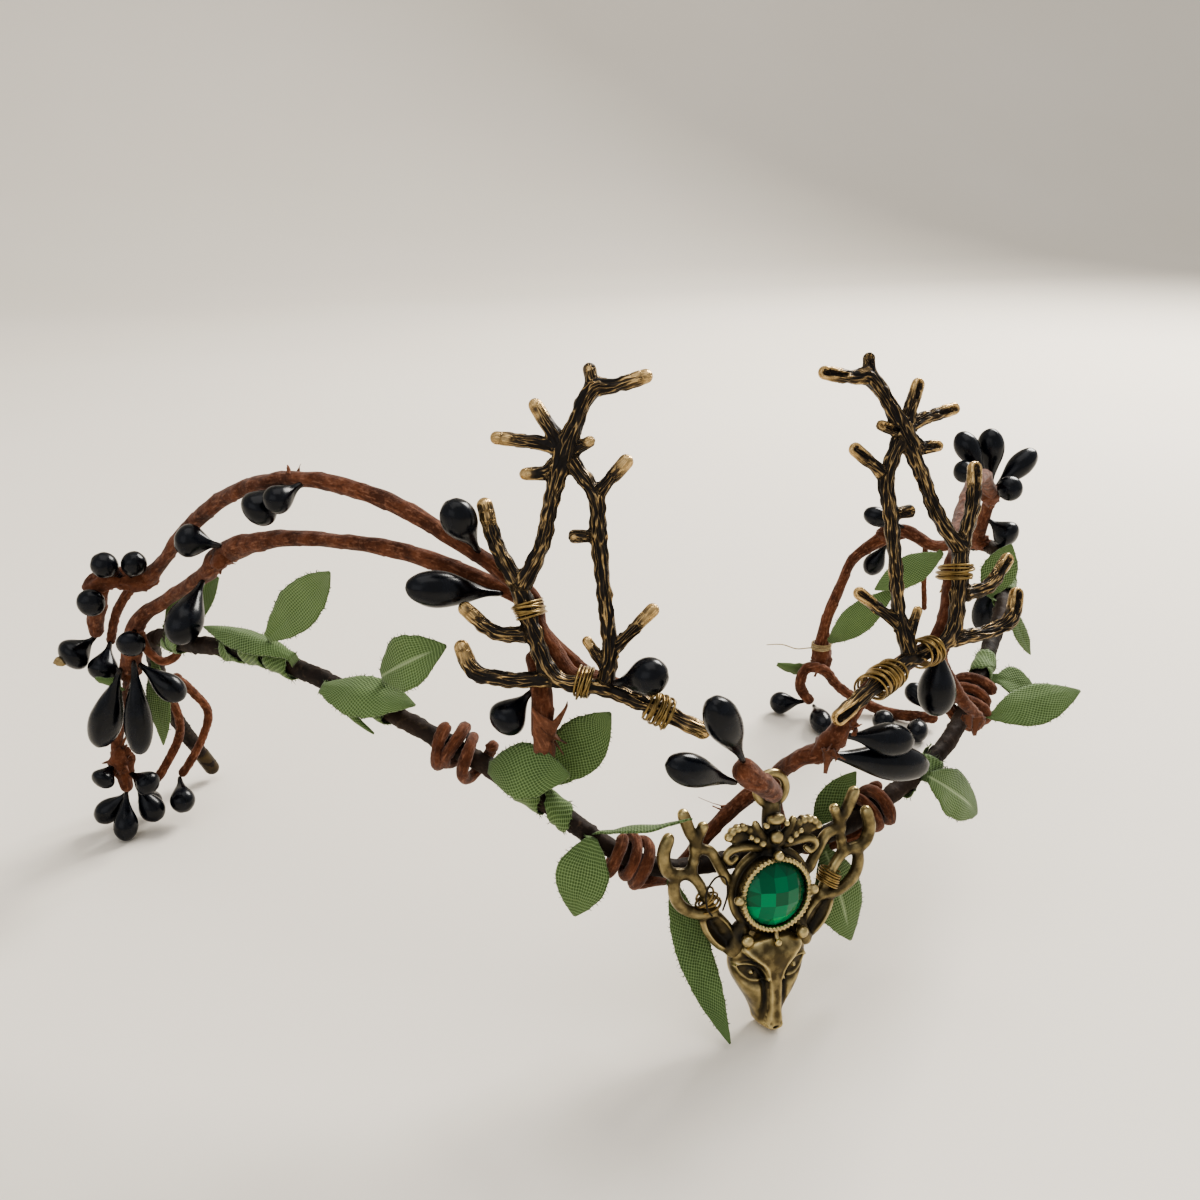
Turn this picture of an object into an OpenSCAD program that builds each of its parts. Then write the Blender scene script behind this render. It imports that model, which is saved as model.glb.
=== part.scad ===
// Woodland tiara: a taped vine wire with paper stems, cast antlers and a deer pendant.
// It stands on the deer's nose in front and on the berries and wire at its two ends.
// The origin is on the table, in the middle of the head opening; the front faces -Y.

/* [Vine and stems] */
// Diameter of the taped vine wire
vine_d = 3; // [2.6:0.1:3.2]
// Diameter of a paper-wrapped stem
stem_d = 2.6; // [2.2:0.1:2.8]
// Diameter of a thin twisted paper strand
strand_d = 1.8; // [1.4:0.1:2]
// Diameter of the twisted paper in a coil
coil_d = 2.2; // [1.8:0.1:2.4]
// Sides of a swept stem
stem_sides = 6; // [6:1:10]

/* [Leaves] */
// Thickness of the woven leaf cloth
leaf_t = 1; // [1:0.1:1.3]
// Wall of the cloth wound round the vine
winding_t = 0.5; // [0.4:0.1:0.8]

/* [Berries] */
// Thinnest radius of a berry, where it leaves its stem
neck_r = 0.5; // [0.4:0.1:0.7]

/* [Antlers] */
// Scale of the antler castings, 1 is 52 mm tall
antler_scale = 1; // [0.95:0.01:1.05]
// Diameter of the brass binding wire
wire_d = 0.7; // [0.6:0.05:0.8]

/* [Deer pendant] */
// Diameter of the stone
stone_d = 10; // [9.5:0.5:10.5]
// Diameter over the rope edge of the bezel
bezel_d = 13; // [12.5:0.5:13.5]
// Angle that the pendant leans back
pendant_lean = 10; // [6:1:14]
// Angle that the pendant is rolled, clockwise seen from the front
pendant_roll = 3; // [0:1:5]

/* [Hidden] */

vine_r = vine_d / 2;
stem_r = stem_d / 2;
strand_r = strand_d / 2;
coil_r = coil_d / 2;
wire_r = wire_d / 2;
// Clearance between pieces that are bound together
gap = 0.2;

paper = "#a5583a";
tape = "#3a2c26";
leaf_green = "#4f7d3f";
brass = "#6f5a35";
bright_wire = "#8c6b32";
satin_black = "#1c2028";
stone_green = "#0b7a4b";

// Cast antler in its own plane: across, up and radius of each branch, front towards +Z
ANTLER_BRANCHES = [
  // Root rod, from the bright base tip
  [[0, 0, 1.4], [-7, 3, 1.2], [-14, 5.4, 1.35], [-21, 6.5, 1.3], [-24.4, 12.8, 1.4], [-26.5, 19.2, 1.4]],
  // First beam, up to the apex and its bent tip
  [[-26.5, 19.2, 1.4], [-23.5, 25.5, 1.2], [-22.3, 32, 1.2], [-20.7, 38.3, 1.5], [-19.1, 43.4, 1.15],
   [-17, 47.6, 1.2], [-14, 48, 1.05], [-9.6, 49.4, 1.25]],
  // Stub of the apex
  [[-17, 47.6, 1.15], [-17.5, 50.3, 1.05]],
  // Second beam
  [[-14, 5.4, 1.35], [-13.4, 11, 1.2], [-14.5, 19, 1.1], [-15.6, 27, 1.2], [-16.2, 32.6, 1.2],
   [-20.7, 38.3, 1.3]],
  // Twigs
  [[-13.8, 8, 1.1], [-16.7, 12, 0.9]],
  [[-13.4, 10.5, 1.1], [-7.6, 16.8, 1.2]],
  [[-15.6, 27, 0.9], [-18.9, 26.8, 1.15]],
  [[-16.2, 32.6, 1.1], [-12, 37.5, 1.3]],
  [[-20.8, 39, 1.2], [-23.2, 42.4, 1], [-25, 45.1, 1.2]],
  [[-21, 39, 1.1], [-25, 39.9, 1], [-30.4, 40.4, 1.15]],
  [[-21.5, 37.4, 1.1], [-23.2, 35.7, 0.95], [-26.2, 35.4, 1]],
  [[-20.7, 38.3, 1.2], [-17.2, 40.2, 0.95]],
  [[-26.5, 19.2, 1.3], [-30, 25, 1.2], [-31.9, 30.8, 1.45]],
  [[-24.4, 12.8, 1.25], [-30, 12.8, 1.1], [-34.4, 16, 1.3]],
  [[-21, 6.5, 1.25], [-28, 6, 1.15], [-33, 7, 1.2], [-34.8, 10.4, 1.4]]
];
// Where the two castings stand: base tip, turn about the vertical, lean back, roll
LEFT_BASE = [-12, -75, 52.5];
LEFT_TURN = [-26, 16, 0];
RIGHT_BASE = [9, -77, 52];
RIGHT_TURN = [1, 20, 6];
// The same move for a point of the casting's plane, side is -1 for the casting turned over
function stand_point(base, turn, side, p) =
  let (x = side * p[0], cr = cos(turn[2]), sr = sin(turn[2]),
       u = x * cr - p[1] * sr, w = x * sr + p[1] * cr, z = side * p[2],
       up = cos(90 - turn[1]), out = sin(90 - turn[1]),
       y1 = w * up - z * out, z1 = w * out + z * up,
       ct = cos(turn[0]), st = sin(turn[0]))
    base + [u * ct - y1 * st, u * st + y1 * ct, z1];
function left_point(p) = stand_point(LEFT_BASE, LEFT_TURN, 1, p);
function right_point(p) = stand_point(RIGHT_BASE, RIGHT_TURN, -1, p);
// Rods of the two castings as routes, and a stem bound behind them
LEFT_ROD = [for (p = ANTLER_BRANCHES[0]) concat(left_point([p[0], p[1], 0]), [p[2]])];
function behind_left(x, y, back = 2.85) = concat(left_point([x, y, -back]), [stem_r]);
function behind_right(x, y) = concat(right_point([x - 0.4, y - 0.8, 2.75]), [stem_r]);

// Rows of a route: x, y, z, radius
VINE = [
  [88, 2, 47, vine_r], [88, -8, 49, vine_r], [83, -19, 48, vine_r], [72, -33, 46, vine_r],
  [59, -46, 42, vine_r], [50, -54, 38, vine_r], [40, -61, 34, vine_r], [28, -65.8, 30.5, vine_r],
  [18, -67.4, 27, vine_r], [8, -67.4, 25, vine_r], [-4, -67.4, 25, vine_r], [-14, -67.6, 26, vine_r],
  [-22, -66, 30, vine_r], [-32, -61, 38, vine_r], [-43, -52, 44.5, vine_r], [-55, -40, 49.5, vine_r],
  [-68, -26, 53, vine_r], [-79, -12, 51, vine_r], [-83.5, 1, 48, vine_r], [-85.5, 10, 43.5, vine_r],
  [-85.5, 19, 36, vine_r], [-85, 27, 25.5, vine_r], [-82, 33, 14, vine_r], [-77, 37, 1.6, vine_r]
];

// Rows: x, y, z, radius, from the antler's base to the left end
STEM_LEFT_HIGH = [
  behind_left(-10.3, 4), behind_left(-14.5, 5.5), behind_left(-18.9, 6.6), behind_left(-21.8, 10),
  behind_left(-24.5, 14), behind_left(-26.4, 18.8, 2.9), [-42, -47, 77, stem_r], [-50, -39, 81, stem_r],
  [-60, -28, 82, stem_r], [-69, -17, 78, stem_r], [-77, -5, 69, stem_r], [-82, 3, 61, stem_r],
  [-86, 8, 56.5, stem_r + 0.5], [-90.5, 8, 57.5, stem_r]
];
STEM_LEFT_LOW = [
  behind_left(-10.6, 3.6, 7), behind_left(-14.2, 5.2, 7), behind_left(-17.8, 6.4, 7),
  behind_left(-21.4, 9.4, 7.1), behind_left(-24.8, 13, 7.3), behind_left(-26.6, 16.8, 7.6),
  [-41, -46.5, 71.3, stem_r], [-48, -40, 72.8, stem_r], [-55, -33, 72.8, stem_r],
  [-63, -25, 71.8, stem_r], [-71, -15, 67.5, stem_r + 0.5],
  [-75, -9, 62, stem_r + 0.2], [-81.5, -0.5, 55.5, stem_r - 0.1], [-87.5, 5.5, 49.2, stem_r + 0.2],
  [-90, 11, 38, stem_r + 0.7]
];
// The stub in front, through the bail and down behind, before its coil round the vine
STEM_CENTRE = [
  [-7.5, -77.5, 47.5, stem_r + 0.4], [-3.5, -76.5, 43.5, stem_r + 0.4], [0.3, -74, 40, stem_r + 0.2],
  [1.9, -70.5, 38.2, stem_r - 0.1], [0.2, -67.2, 36, stem_r], [-2.5, -66.2, 33, stem_r],
  [-5, -65, 29.5, stem_r], [-8.5, -64.4, 25.2, coil_r], [-12.5, -65, 22.4, coil_r]
];
// From behind the bail, up behind the right antler and over the right side
STEM_RIGHT = [
  [14.5, -66, 22.6, coil_r], [11, -64.6, 23.2, coil_r], [8, -64.2, 26.5, stem_r],
  [5.8, -64.8, 32, stem_r], [5.4, -66.6, 38, stem_r], [6.2, -70.4, 42.4, stem_r],
  [8.8, -73.4, 45.2, stem_r + 0.3],
  [12, -74, 49.6, stem_r + 0.2], behind_right(-7, 3), behind_right(-14, 5.4), behind_right(-19, 6.6),
  behind_right(-22.6, 9.6), behind_right(-24.4, 13.4), behind_right(-26.2, 18.4),
  [40, -59.6, 70.4, stem_r], [47, -50, 71, stem_r], [57, -39, 73, stem_r],
  [68, -28, 71.5, stem_r], [77, -18, 67, stem_r], [82, -13, 63, stem_r + 0.3]
];
STEM_STUB_LEFT = [
  behind_left(-25.2, 10, 2.95), [-31.2, -60.3, 56, stem_r + 0.2], [-31.6, -61.6, 51, stem_r + 0.3],
  [-31.7, -62, 48.2, stem_r]
];
STEM_LEFT_DROP = [
  [-90.2, 11.4, 37.6, strand_r], [-92, 17, 29, strand_r], [-94.5, 20, 21, strand_r + 0.2],
  [-94.5, 20, 15, stem_r + 0.4], [-94, 19.5, 9, stem_r]
];
STRAND_LEFT_OUTER = [[-92.4, 9.4, 56.2, stem_r], [-94.3, 13, 50, stem_r + 0.3], [-95.2, 17, 44, stem_r]];
STRAND_LEFT_INNER = [[-87.5, 10, 55.1, strand_r], [-91, 14, 49, strand_r], [-93, 17, 42, strand_r]];
LOOP_LEFT_OUTER = [
  [-82.7, 23.6, 31.2, strand_r], [-79.5, 26, 26, strand_r], [-77, 27, 20, strand_r],
  [-80, 26, 13, strand_r], [-84, 24.5, 8, strand_r]
];
LOOP_LEFT_INNER = [
  [-85.9, 20.2, 30, strand_r], [-83.4, 23.3, 25.2, strand_r], [-83, 24, 18, strand_r],
  [-87, 23, 11, strand_r], [-90, 22, 8, strand_r]
];
STEM_RIGHT_RISE = [[86, -5, 50, stem_r], [85, -8, 56, stem_r], [84, -10.5, 61, stem_r]];
STEM_RIGHT_REAR = [
  [88, 2.4, 47, stem_r], [87.6, 6.5, 45.2, stem_r], [86, 11, 44.2, stem_r], [82, 16, 46.5, stem_r + 0.2],
  [79, 20, 44, stem_r + 0.4], [73, 23, 38.5, stem_r], [70, 24, 30, stem_r], [68, 25, 23, stem_r],
  [67, 25, 16, stem_r + 0.4], [68, 25, 11, stem_r + 0.9]
];
STEM_RIGHT_FOOT = [
  [63, 21, 3, stem_r], [60, 22, 7.5, stem_r], [61.5, 22, 12, stem_r], [66.2, 21.6, 11, stem_r],
  [70, 20, 6.5, stem_r], [75, 17.5, 3, stem_r], [80, 12, 1.5, stem_r], [87, 3, 3, stem_r]
];

function unit(v) = v / norm(v);
function place(row) = [row[0], row[1], row[2]];
function across(v, along) = unit(v - (v * along) * along);

// Smooth curve through the rows, steps pieces between two rows
function spline(a, b, c, d, t) =
  0.5 * (2 * b + (c - a) * t + (2 * a - 5 * b + 4 * c - d) * t * t + (3 * b - a - 3 * c + d) * t * t * t);
function smooth(rows, steps) =
  let (last = len(rows) - 1)
  concat(
    [for (i = [0:last - 1]) for (j = [0:steps - 1])
      spline(rows[max(i - 1, 0)], rows[i], rows[i + 1], rows[min(i + 2, last)], j / steps)],
    [rows[last]]
  );

// Row of a route at a place between its rows, and its direction there
function on(route, at) =
  let (last = len(route) - 1, i = min(floor(at), last - 1))
    spline(route[max(i - 1, 0)], route[i], route[i + 1], route[min(i + 2, last)], at - i);
function heading_at(route, at) =
  unit(place(on(route, min(at + 0.1, len(route) - 1))) - place(on(route, max(at - 0.1, 0))));

function heading(path, i) =
  unit(place(path[min(i + 1, len(path) - 1)]) - place(path[max(i - 1, 0)]));
function first_side(along) = across(abs(along.z) < 0.8 ? [0, 0, 1] : [1, 0, 0], along);
// A side direction for each point of the path, turned as little as possible along it
function side_list(path) = [
  for (i = 0, s = first_side(heading(path, 0)); i < len(path);
       i = i + 1, s = i < len(path) ? across(s, heading(path, i)) : s) s
];

// Round tube along a path of rows x, y, z, radius
module tube(path, sides = stem_sides) {
  side = side_list(path);
  n = len(path);
  points = [
    for (i = [0:n - 1])
      let (along = heading(path, i), u = side[i], v = cross(along, u))
        for (k = [0:sides - 1])
          let (a = 360 * k / sides)
            place(path[i]) + path[i][3] * (cos(a) * u + sin(a) * v)
  ];
  walls = [
    for (i = [0:n - 2]) for (k = [0:sides - 1])
      let (next = (k + 1) % sides)
        [i * sides + k, (i + 1) * sides + k, (i + 1) * sides + next, i * sides + next]
  ];
  start_cap = [for (k = [0:sides - 1]) k];
  end_cap = [for (k = [sides - 1:-1:0]) (n - 1) * sides + k];
  polyhedron(points, concat([start_cap], walls, [end_cap]), convexity = 6);
}

// Path of a coil round a straight stretch: middle, direction, two half axes, turns, rise per turn
function coil_path(middle, along, half_a, half_b, turns, rise, r, steps = 10) = [
  for (i = [0:turns * steps])
    let (a = 360 * i / steps, p = middle + unit(along) * (i / steps - turns / 2) * rise
         + half_a * cos(a) + half_b * sin(a))
      [p.x, p.y, p.z, r]
];
// Coil of paper round the vine: place on it, way along it, turns and where it starts round it
coil_ring_r = vine_r + gap + coil_r + 0.2;
function ring_coil(at, way, turns, start) =
  let (w = way * heading_at(VINE, at), top = first_side(w), side = cross(w, top))
    coil_path(place(on(VINE, at)), w, coil_ring_r * (cos(start) * top + sin(start) * side),
      coil_ring_r * (cos(start) * side - sin(start) * top), turns, coil_d + 0.1, coil_r);

// Turns +Z to the direction v
module aim(v) {
  rotate([0, acos(v.z / norm(v)), atan2(v.y, v.x)]) children();
}

// Outline of a berry from its neck to its round end
function berry_outline(length, r) =
  let (waist = 0.66)
  concat(
    [[0, 0]],
    [for (t = [0:0.25:1]) [neck_r + (r - neck_r) * pow(sin(90 * t), 1.9), length * waist * t]],
    [for (a = [22.5:22.5:67.5]) [r * cos(a), length * (waist + (1 - waist) * sin(a))]],
    [[0, length]]
  );
// Neck of a berry bound to a route; a place past an end puts it beyond that end
function neck_on(route, at, tip) =
  let (last = len(route) - 1, i = min(max(at, 0), last), row = on(route, i), along = heading_at(route, i),
       out = across(tip - place(row), along))
    at < 0 || at > last
      ? place(row) + sign(at) * along * (gap + 0.9 * neck_r) + out * row[3] * 0.7
      : place(row) + out * (row[3] + gap + 0.05 + neck_r * abs(unit(tip - place(row)) * along));
// Columns of a berry row: route, place on it, tip, width
module berry(row) {
  tip = row[2];
  neck = neck_on(row[0], row[1], tip);
  outline = berry_outline(norm(tip - neck), row[3] / 2);
  translate(neck) aim(tip - neck) rotate_extrude($fn = 20) polygon(outline);
}
module berries(rows) {
  color(satin_black) for (row = rows) berry(row);
}

// Half width of a leaf along its length, from base to tip
LEAF_SHAPE = [[0, 0.2], [0.15, 0.62], [0.38, 1], [0.62, 0.92], [0.84, 0.5], [1, 0.05]];
// Columns of a leaf row: base x, y, z, tip x, y, z, face direction x, y, z, width, arch, cup, twist
module leaf(row) {
  base = [row[0], row[1], row[2]];
  tip = [row[3], row[4], row[5]];
  along = unit(tip - base);
  face = across([row[6], row[7], row[8]], along);
  side = cross(along, face);
  width = row[9];
  n = len(LEAF_SHAPE);
  function turned(t) = cos(row[12] * t) * face + sin(row[12] * t) * side;
  function spread(t) = cos(row[12] * t) * side - sin(row[12] * t) * face;
  function leaf_point(k, s, lift) =
    let (t = LEAF_SHAPE[k][0], half = LEAF_SHAPE[k][1] * width / 2)
      base + (tip - base) * t + face * row[10] * 4 * t * (1 - t)
      + spread(t) * s * half + turned(t) * (row[11] * abs(s) * half + lift);
  points = [
    for (lift = [leaf_t / 2, -leaf_t / 2]) for (k = [0:n - 1]) for (s = [-1:1]) leaf_point(k, s, lift)
  ];
  function at(layer, k, s) = layer * n * 3 + k * 3 + s;
  tops = [
    for (k = [0:n - 2]) for (s = [0:1])
      [at(0, k, s), at(0, k + 1, s), at(0, k + 1, s + 1), at(0, k, s + 1)]
  ];
  lows = [
    for (k = [0:n - 2]) for (s = [0:1])
      [at(1, k, s), at(1, k, s + 1), at(1, k + 1, s + 1), at(1, k + 1, s)]
  ];
  lefts = [for (k = [0:n - 2]) [at(0, k, 0), at(1, k, 0), at(1, k + 1, 0), at(0, k + 1, 0)]];
  rights = [for (k = [0:n - 2]) [at(0, k, 2), at(0, k + 1, 2), at(1, k + 1, 2), at(1, k, 2)]];
  ends = [
    for (s = [0:1]) [at(0, 0, s), at(0, 0, s + 1), at(1, 0, s + 1), at(1, 0, s)],
    for (s = [0:1]) [at(0, n - 1, s), at(1, n - 1, s), at(1, n - 1, s + 1), at(0, n - 1, s + 1)]
  ];
  color(leaf_green) polyhedron(points, concat(tops, lows, lefts, rights, ends), convexity = 4);
}

// Columns: base x, y, z, tip x, y, z, face direction x, y, z, width, arch, cup, twist
LEAVES = [
  [-67, -30, 57.2, -58, -42, 71, -0.7, -0.7, 0, 7, -1, 0.1, 0],
  [-64, -34, 55.4, -76.2, -16.8, 55.4, -0.3, -0.3, 1, 4.5, 1, -0.6, 0],
  [-60.4, -38.7, 51.3, -48.4, -52.8, 52.5, -0.4, -0.5, 0.8, 7, 0.6, -0.3, 0],
  [-52, -46.5, 55.2, -44, -55, 62.2, -0.7, -0.6, 0.3, 8, 1, 0.1, 0],
  [-39, -58.6, 43.3, -29.5, -68, 45, -0.4, -0.7, 0.5, 8, 1.5, -0.2, 0],
  [-30.6, -60.4, 40.2, -22.8, -66.8, 53.4, -0.5, -0.8, 0.2, 8, -1, 0, 0],
  [-25.8, -67.1, 33.3, -29, -68, 21, -0.6, -0.8, 0, 8, 1, 0, 0],
  [-24.5, -66.3, 33.9, -15, -79, 41, 0.1, 0.3, 1, 4, 0, -0.4, 0],
  [-13.2, -68.7, 23.8, -8.1, -80, 1, 0, -1, 0, 5.6, -2.2, 0.1, 0],
  [13.4, -68.9, 23.9, 17.4, -72.2, 8.2, 0.2, -1, 0, 9, 0.5, -0.1, 0],
  [12.6, -66.6, 27.8, 18.8, -67.6, 36.6, -0.5, -0.8, 0.2, 5, 0, 0, 0],
  [51.8, -58.6, 36.9, 67, -62, 41, -0.2, -0.6, 0.8, 7.5, 0.5, -0.1, 0],
  [33, -67.4, 33, 46, -64.5, 22, 0.3, -0.9, 0.4, 8, 1, -0.1, 0],
  [69.9, -31.1, 47.9, 74, -31, 58, -0.3, -0.9, 0.1, 7, 0, 0, 0],
  [75.5, -31, 44.1, 83, -30, 33, 0.3, -0.9, 0, 3.5, 0, 0, 0],
  [68.2, 22.9, 18, 78, 12, 34, -0.5, -0.6, 0.2, 7, 2, -0.2, 0],
  [85.8, 7, 43, 73, 13, 34, -0.5, -0.6, 0.4, 7, 1, -0.2, 0],
  [-82.2, 2.2, 49.5, -72.5, 1, 58, -0.6, -0.7, 0.4, 8, 0, 0.2, 0],
  [-85.5, 12.6, 38.7, -86, 14.5, 20.5, -0.6, -0.8, 0, 5, 0, 0, 0],
  [57.4, -51.6, 40.4, 65.5, -52, 37.5, -0.2, -0.7, 0.7, 6, 0.5, 0, 0]
];

// Sleeves of leaf cloth on the vine: from and to place along its rows
WINDINGS = [[2, 3], [4, 4.5], [6, 7], [12.5, 13.5], [14.5, 15], [15.5, 16.5], [17, 17.5]];
module leaf_windings() {
  path = smooth(VINE, 2);
  color(leaf_green) for (span = WINDINGS) sleeve([for (i = [2 * span[0]:2 * span[1]]) path[i]], 8);
}
// Sleeve round a path, open at both ends
module sleeve(path, sides) {
  side = side_list(path);
  n = len(path);
  m = n * sides;
  points = [
    for (r = [vine_r + gap + winding_t, vine_r + gap]) for (i = [0:n - 1])
      let (along = heading(path, i), u = side[i], v = cross(along, u))
        for (k = [0:sides - 1]) place(path[i]) + r * (cos(360 * k / sides) * u + sin(360 * k / sides) * v)
  ];
  function next(k) = (k + 1) % sides;
  outside = [
    for (i = [0:n - 2]) for (k = [0:sides - 1])
      [i * sides + k, (i + 1) * sides + k, (i + 1) * sides + next(k), i * sides + next(k)]
  ];
  inside = [for (f = outside) [m + f[0], m + f[3], m + f[2], m + f[1]]];
  start = [for (k = [0:sides - 1]) [k, next(k), m + next(k), m + k]];
  last = (n - 1) * sides;
  finish = [for (k = [0:sides - 1]) [last + next(k), last + k, m + last + k, m + last + next(k)]];
  polyhedron(points, concat(outside, inside, start, finish), convexity = 6);
}

module vine_wire() {
  color(tape) tube(smooth(VINE, 2), 8);
}
module paper_stem(rows, steps = 2) {
  color(paper) tube(smooth(rows, steps));
}
module stem_centre() {
  color(paper) tube(concat(smooth(STEM_CENTRE, 2), ring_coil(11.75, 1, 2.5, 180)), 6);
}
module stem_right() {
  color(paper) tube(concat(ring_coil(7.5, 1, 2.5, 0), smooth(STEM_RIGHT, 2)), 6);
}
module coil_left() {
  color(paper) tube(ring_coil(13.9, -1, 3, 0), 6);
}
module coil_right() {
  tail = [[44, -61, 41, coil_r], [38, -61, 50, coil_r], [37, -62.5, 54, coil_r]];
  color(paper) tube(concat(ring_coil(5, 1, 3, 270), smooth(tail, 2)), 6);
}

module knuckle(row) {
  translate([row[0], row[1], 0]) scale([1, 1, 0.8]) rotate([0, 0, 30]) sphere(r = row[2], $fn = 6);
}
module antler_casting() {
  scale(antler_scale) difference() {
    union() for (branch = ANTLER_BRANCHES) for (i = [0:len(branch) - 2])
      hull() {
        knuckle(branch[i]);
        knuckle(branch[i + 1]);
      }
    // Cupped backs of the twig tips
    for (branch = ANTLER_BRANCHES) cup(branch[len(branch) - 2], branch[len(branch) - 1]);
    cup(ANTLER_BRANCHES[0][1], ANTLER_BRANCHES[0][0]);
  }
}
// Hollow in the back of a tip, running in from its end
module cup(inner, tip) {
  back = unit([inner[0] - tip[0], inner[1] - tip[1]]);
  if (tip[0] > -12 || tip[0] < -30)
    translate([tip[0], tip[1], -tip[2] * 0.85]) hull() {
      sphere(r = tip[2] * 0.55, $fn = 6);
      translate([back.x * 2, back.y * 2, 0]) sphere(r = tip[2] * 0.4, $fn = 6);
    }
}
module stand(base, turn) {
  translate(base) rotate([0, 0, turn[0]]) rotate([90 - turn[1], 0, 0]) rotate([0, 0, turn[2]]) children();
}
module antler_left() {
  color(brass) stand(LEFT_BASE, LEFT_TURN) antler_casting();
}
module antler_right() {
  color(brass) stand(RIGHT_BASE, RIGHT_TURN) rotate([0, 180, 0]) antler_casting();
}
// Wire wrap round an antler rod from a to b, that reaches back over a bound stem
rod_r = 1.4;
wire_rise = wire_d + 0.08;
// How loosely the wire goes round, along its long side and across it
loose_far = 1.22;
loose_near = 1.3;
module wire_wrap(a, b, back, turns) {
  along = unit(b - a);
  out = across(back, along);
  reach = norm(back);
  half_a = out * loose_far * (reach / 2 + rod_r + wire_r);
  half_b = cross(along, out) * loose_near * (rod_r + wire_r);
  middle = (a + b) / 2 + out * reach / 2;
  color(bright_wire) tube(coil_path(middle, along, half_a, half_b, turns, wire_rise, wire_r, 10), 5);
}
function back_left(x, y, z) = left_point([x, y, z]) - left_point([0, 0, 0]);
function back_right(x, y, z) = right_point([x, y, z]) - right_point([0, 0, 0]);

// Pendant in its own plane: across, up from the nose tip, and out to the front
nose_r = 1.9;
head_depth = 3.2;
stone_at = [0, 22.8, 4];
bezel_h = 2.6;
module blob(x, y, z, r, fn = 8) {
  translate([x, y, z]) sphere(r = r, $fn = fn);
}
// Rod of capsules through rows across, up, out, radius
module rod(rows) {
  for (i = [0:len(rows) - 2]) hull() {
    blob(rows[i][0], rows[i][1], rows[i][2], rows[i][3], 6);
    blob(rows[i + 1][0], rows[i + 1][1], rows[i + 1][2], rows[i + 1][3], 6);
  }
}
module deer_head() {
  // Skull and cheeks
  hull() {
    blob(0, 13.4, 2.6, 2.8, 12);
    for (s = [-1, 1]) {
      blob(s * 3.4, 13.6, 2.2, 2);
      blob(s * 4.1, 10.8, 2, 2.2);
    }
    blob(0, 6, 2.6, 2.6);
  }
  // Muzzle and nose
  hull() {
    blob(0, 9, 3.6, 2.1);
    blob(0, 5, 3.8, 1.7);
    blob(0, nose_r, head_depth, nose_r, 12);
  }
  // Jaw
  hull() {
    for (s = [-1, 1]) blob(s * 3.2, 8, 1.4, 2.2);
    blob(0, 2.6, 1.8, 1.6);
  }
  for (s = [-1, 1]) {
    // Brow, eye and ear
    rod([[s * 5, 12.4, 3.6, 0.8], [s * 2.8, 11, 4.8, 0.8], [s * 0.9, 10.4, 5.2, 0.9]]);
    blob(s * 3.6, 9.6, 4.1, 0.8, 8);
    hull() {
      blob(s * 5.4, 12.8, 1.6, 1.2, 8);
      blob(s * 8.6, 14.6, 1.8, 1.4, 8);
      blob(s * 11, 18.6, 1.4, 0.9, 8);
      blob(s * 7.6, 17.2, 1.2, 1, 8);
    }
  }
}
module small_antler(s) {
  rod([[s * 5.6, 14.6, 1.6, 1], [s * 9.4, 20.4, 1.8, 0.9], [s * 11.6, 25, 1.8, 0.7],
       [s * 13.2, 27, 1.8, 0.8]]);
  rod([[s * 9.4, 20.4, 1.8, 0.8], [s * 12.2, 20.6, 1.8, 0.8], [s * 14.8, 22.2, 1.8, 0.8],
       [s * 15.8, 24.6, 1.8, 0.8], [s * 15.4, 27.4, 1.8, 0.8], [s * 13.2, 27, 1.8, 0.8]]);
  rod([[s * 15.4, 27.4, 1.8, 0.8], [s * 16.9, 28.2, 1.9, 0.8], [s * 17.6, 30.6, 2, 0.9],
       [s * 16.7, 33.4, 2.1, 0.9]]);
  rod([[s * 13.2, 27, 1.8, 0.8], [s * 12.4, 31.4, 1.8, 0.8], [s * 13.6, 34, 2, 0.9],
       [s * 14.6, 36.8, 2.2, 0.9]]);
  rod([[s * 12.4, 31.4, 1.8, 0.8], [s * 11.3, 34.4, 2, 0.9]]);
  rod([[s * 12.4, 31.4, 1.8, 0.8], [s * 10, 30.4, 1.8, 0.7], [s * 8.6, 28, 1.8, 0.7],
       [s * 7, 25, 1.8, 0.8]]);
}
module crown_scrolls() {
  rod([[0, 28.8, 2.4, 1.6], [0, 33, 2.4, 1.5], [0, 36.4, 2.4, 1.1]]);
  blob(0, 32.4, 3.8, 1.2);
  blob(0, 34.9, 3.6, 1.3);
  for (s = [-1, 1]) {
    rod([[s * 1, 30.4, 2.6, 1], [s * 3.6, 31.6, 2.8, 1], [s * 6.2, 32.6, 3, 1.1], [s * 7.2, 34, 3, 0.9]]);
    rod([[s * 4.4, 31.6, 2.6, 0.9], [s * 7, 30.8, 2.8, 1.1]]);
    rod([[s * 3.6, 31.6, 3, 0.9], [s * 4.4, 34.2, 3, 0.9]]);
  }
}
module bezel() {
  translate([stone_at.x, stone_at.y, 1.4]) {
    cylinder(h = 1.6, d = bezel_d - 1, $fn = 24);
    difference() {
      cylinder(h = bezel_h + 0.8, d = bezel_d - 0.4, $fn = 24);
      translate([0, 0, 1.6]) cylinder(h = bezel_h, d = stone_d + 2 * gap, $fn = 24);
    }
    // Rope edge
    translate([0, 0, bezel_h + 0.8]) rotate_extrude($fn = 24)
      translate([bezel_d / 2 - 0.7, 0]) circle(d = 1.2, $fn = 6);
  }
  // Beads round the edge and below it
  for (a = [-180, 0, 90])
    blob(stone_at.x + cos(a) * bezel_d / 2, stone_at.y + sin(a) * bezel_d / 2, 5, 0.9, 8);
  rod([[0, 16, 3, 0.9], [0, 13.6, 3.4, 1]]);
  for (s = [-1, 1]) blob(s * 4.6, 15.6, 3.2, 1.2);
}
pendant_y = -75;
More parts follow.
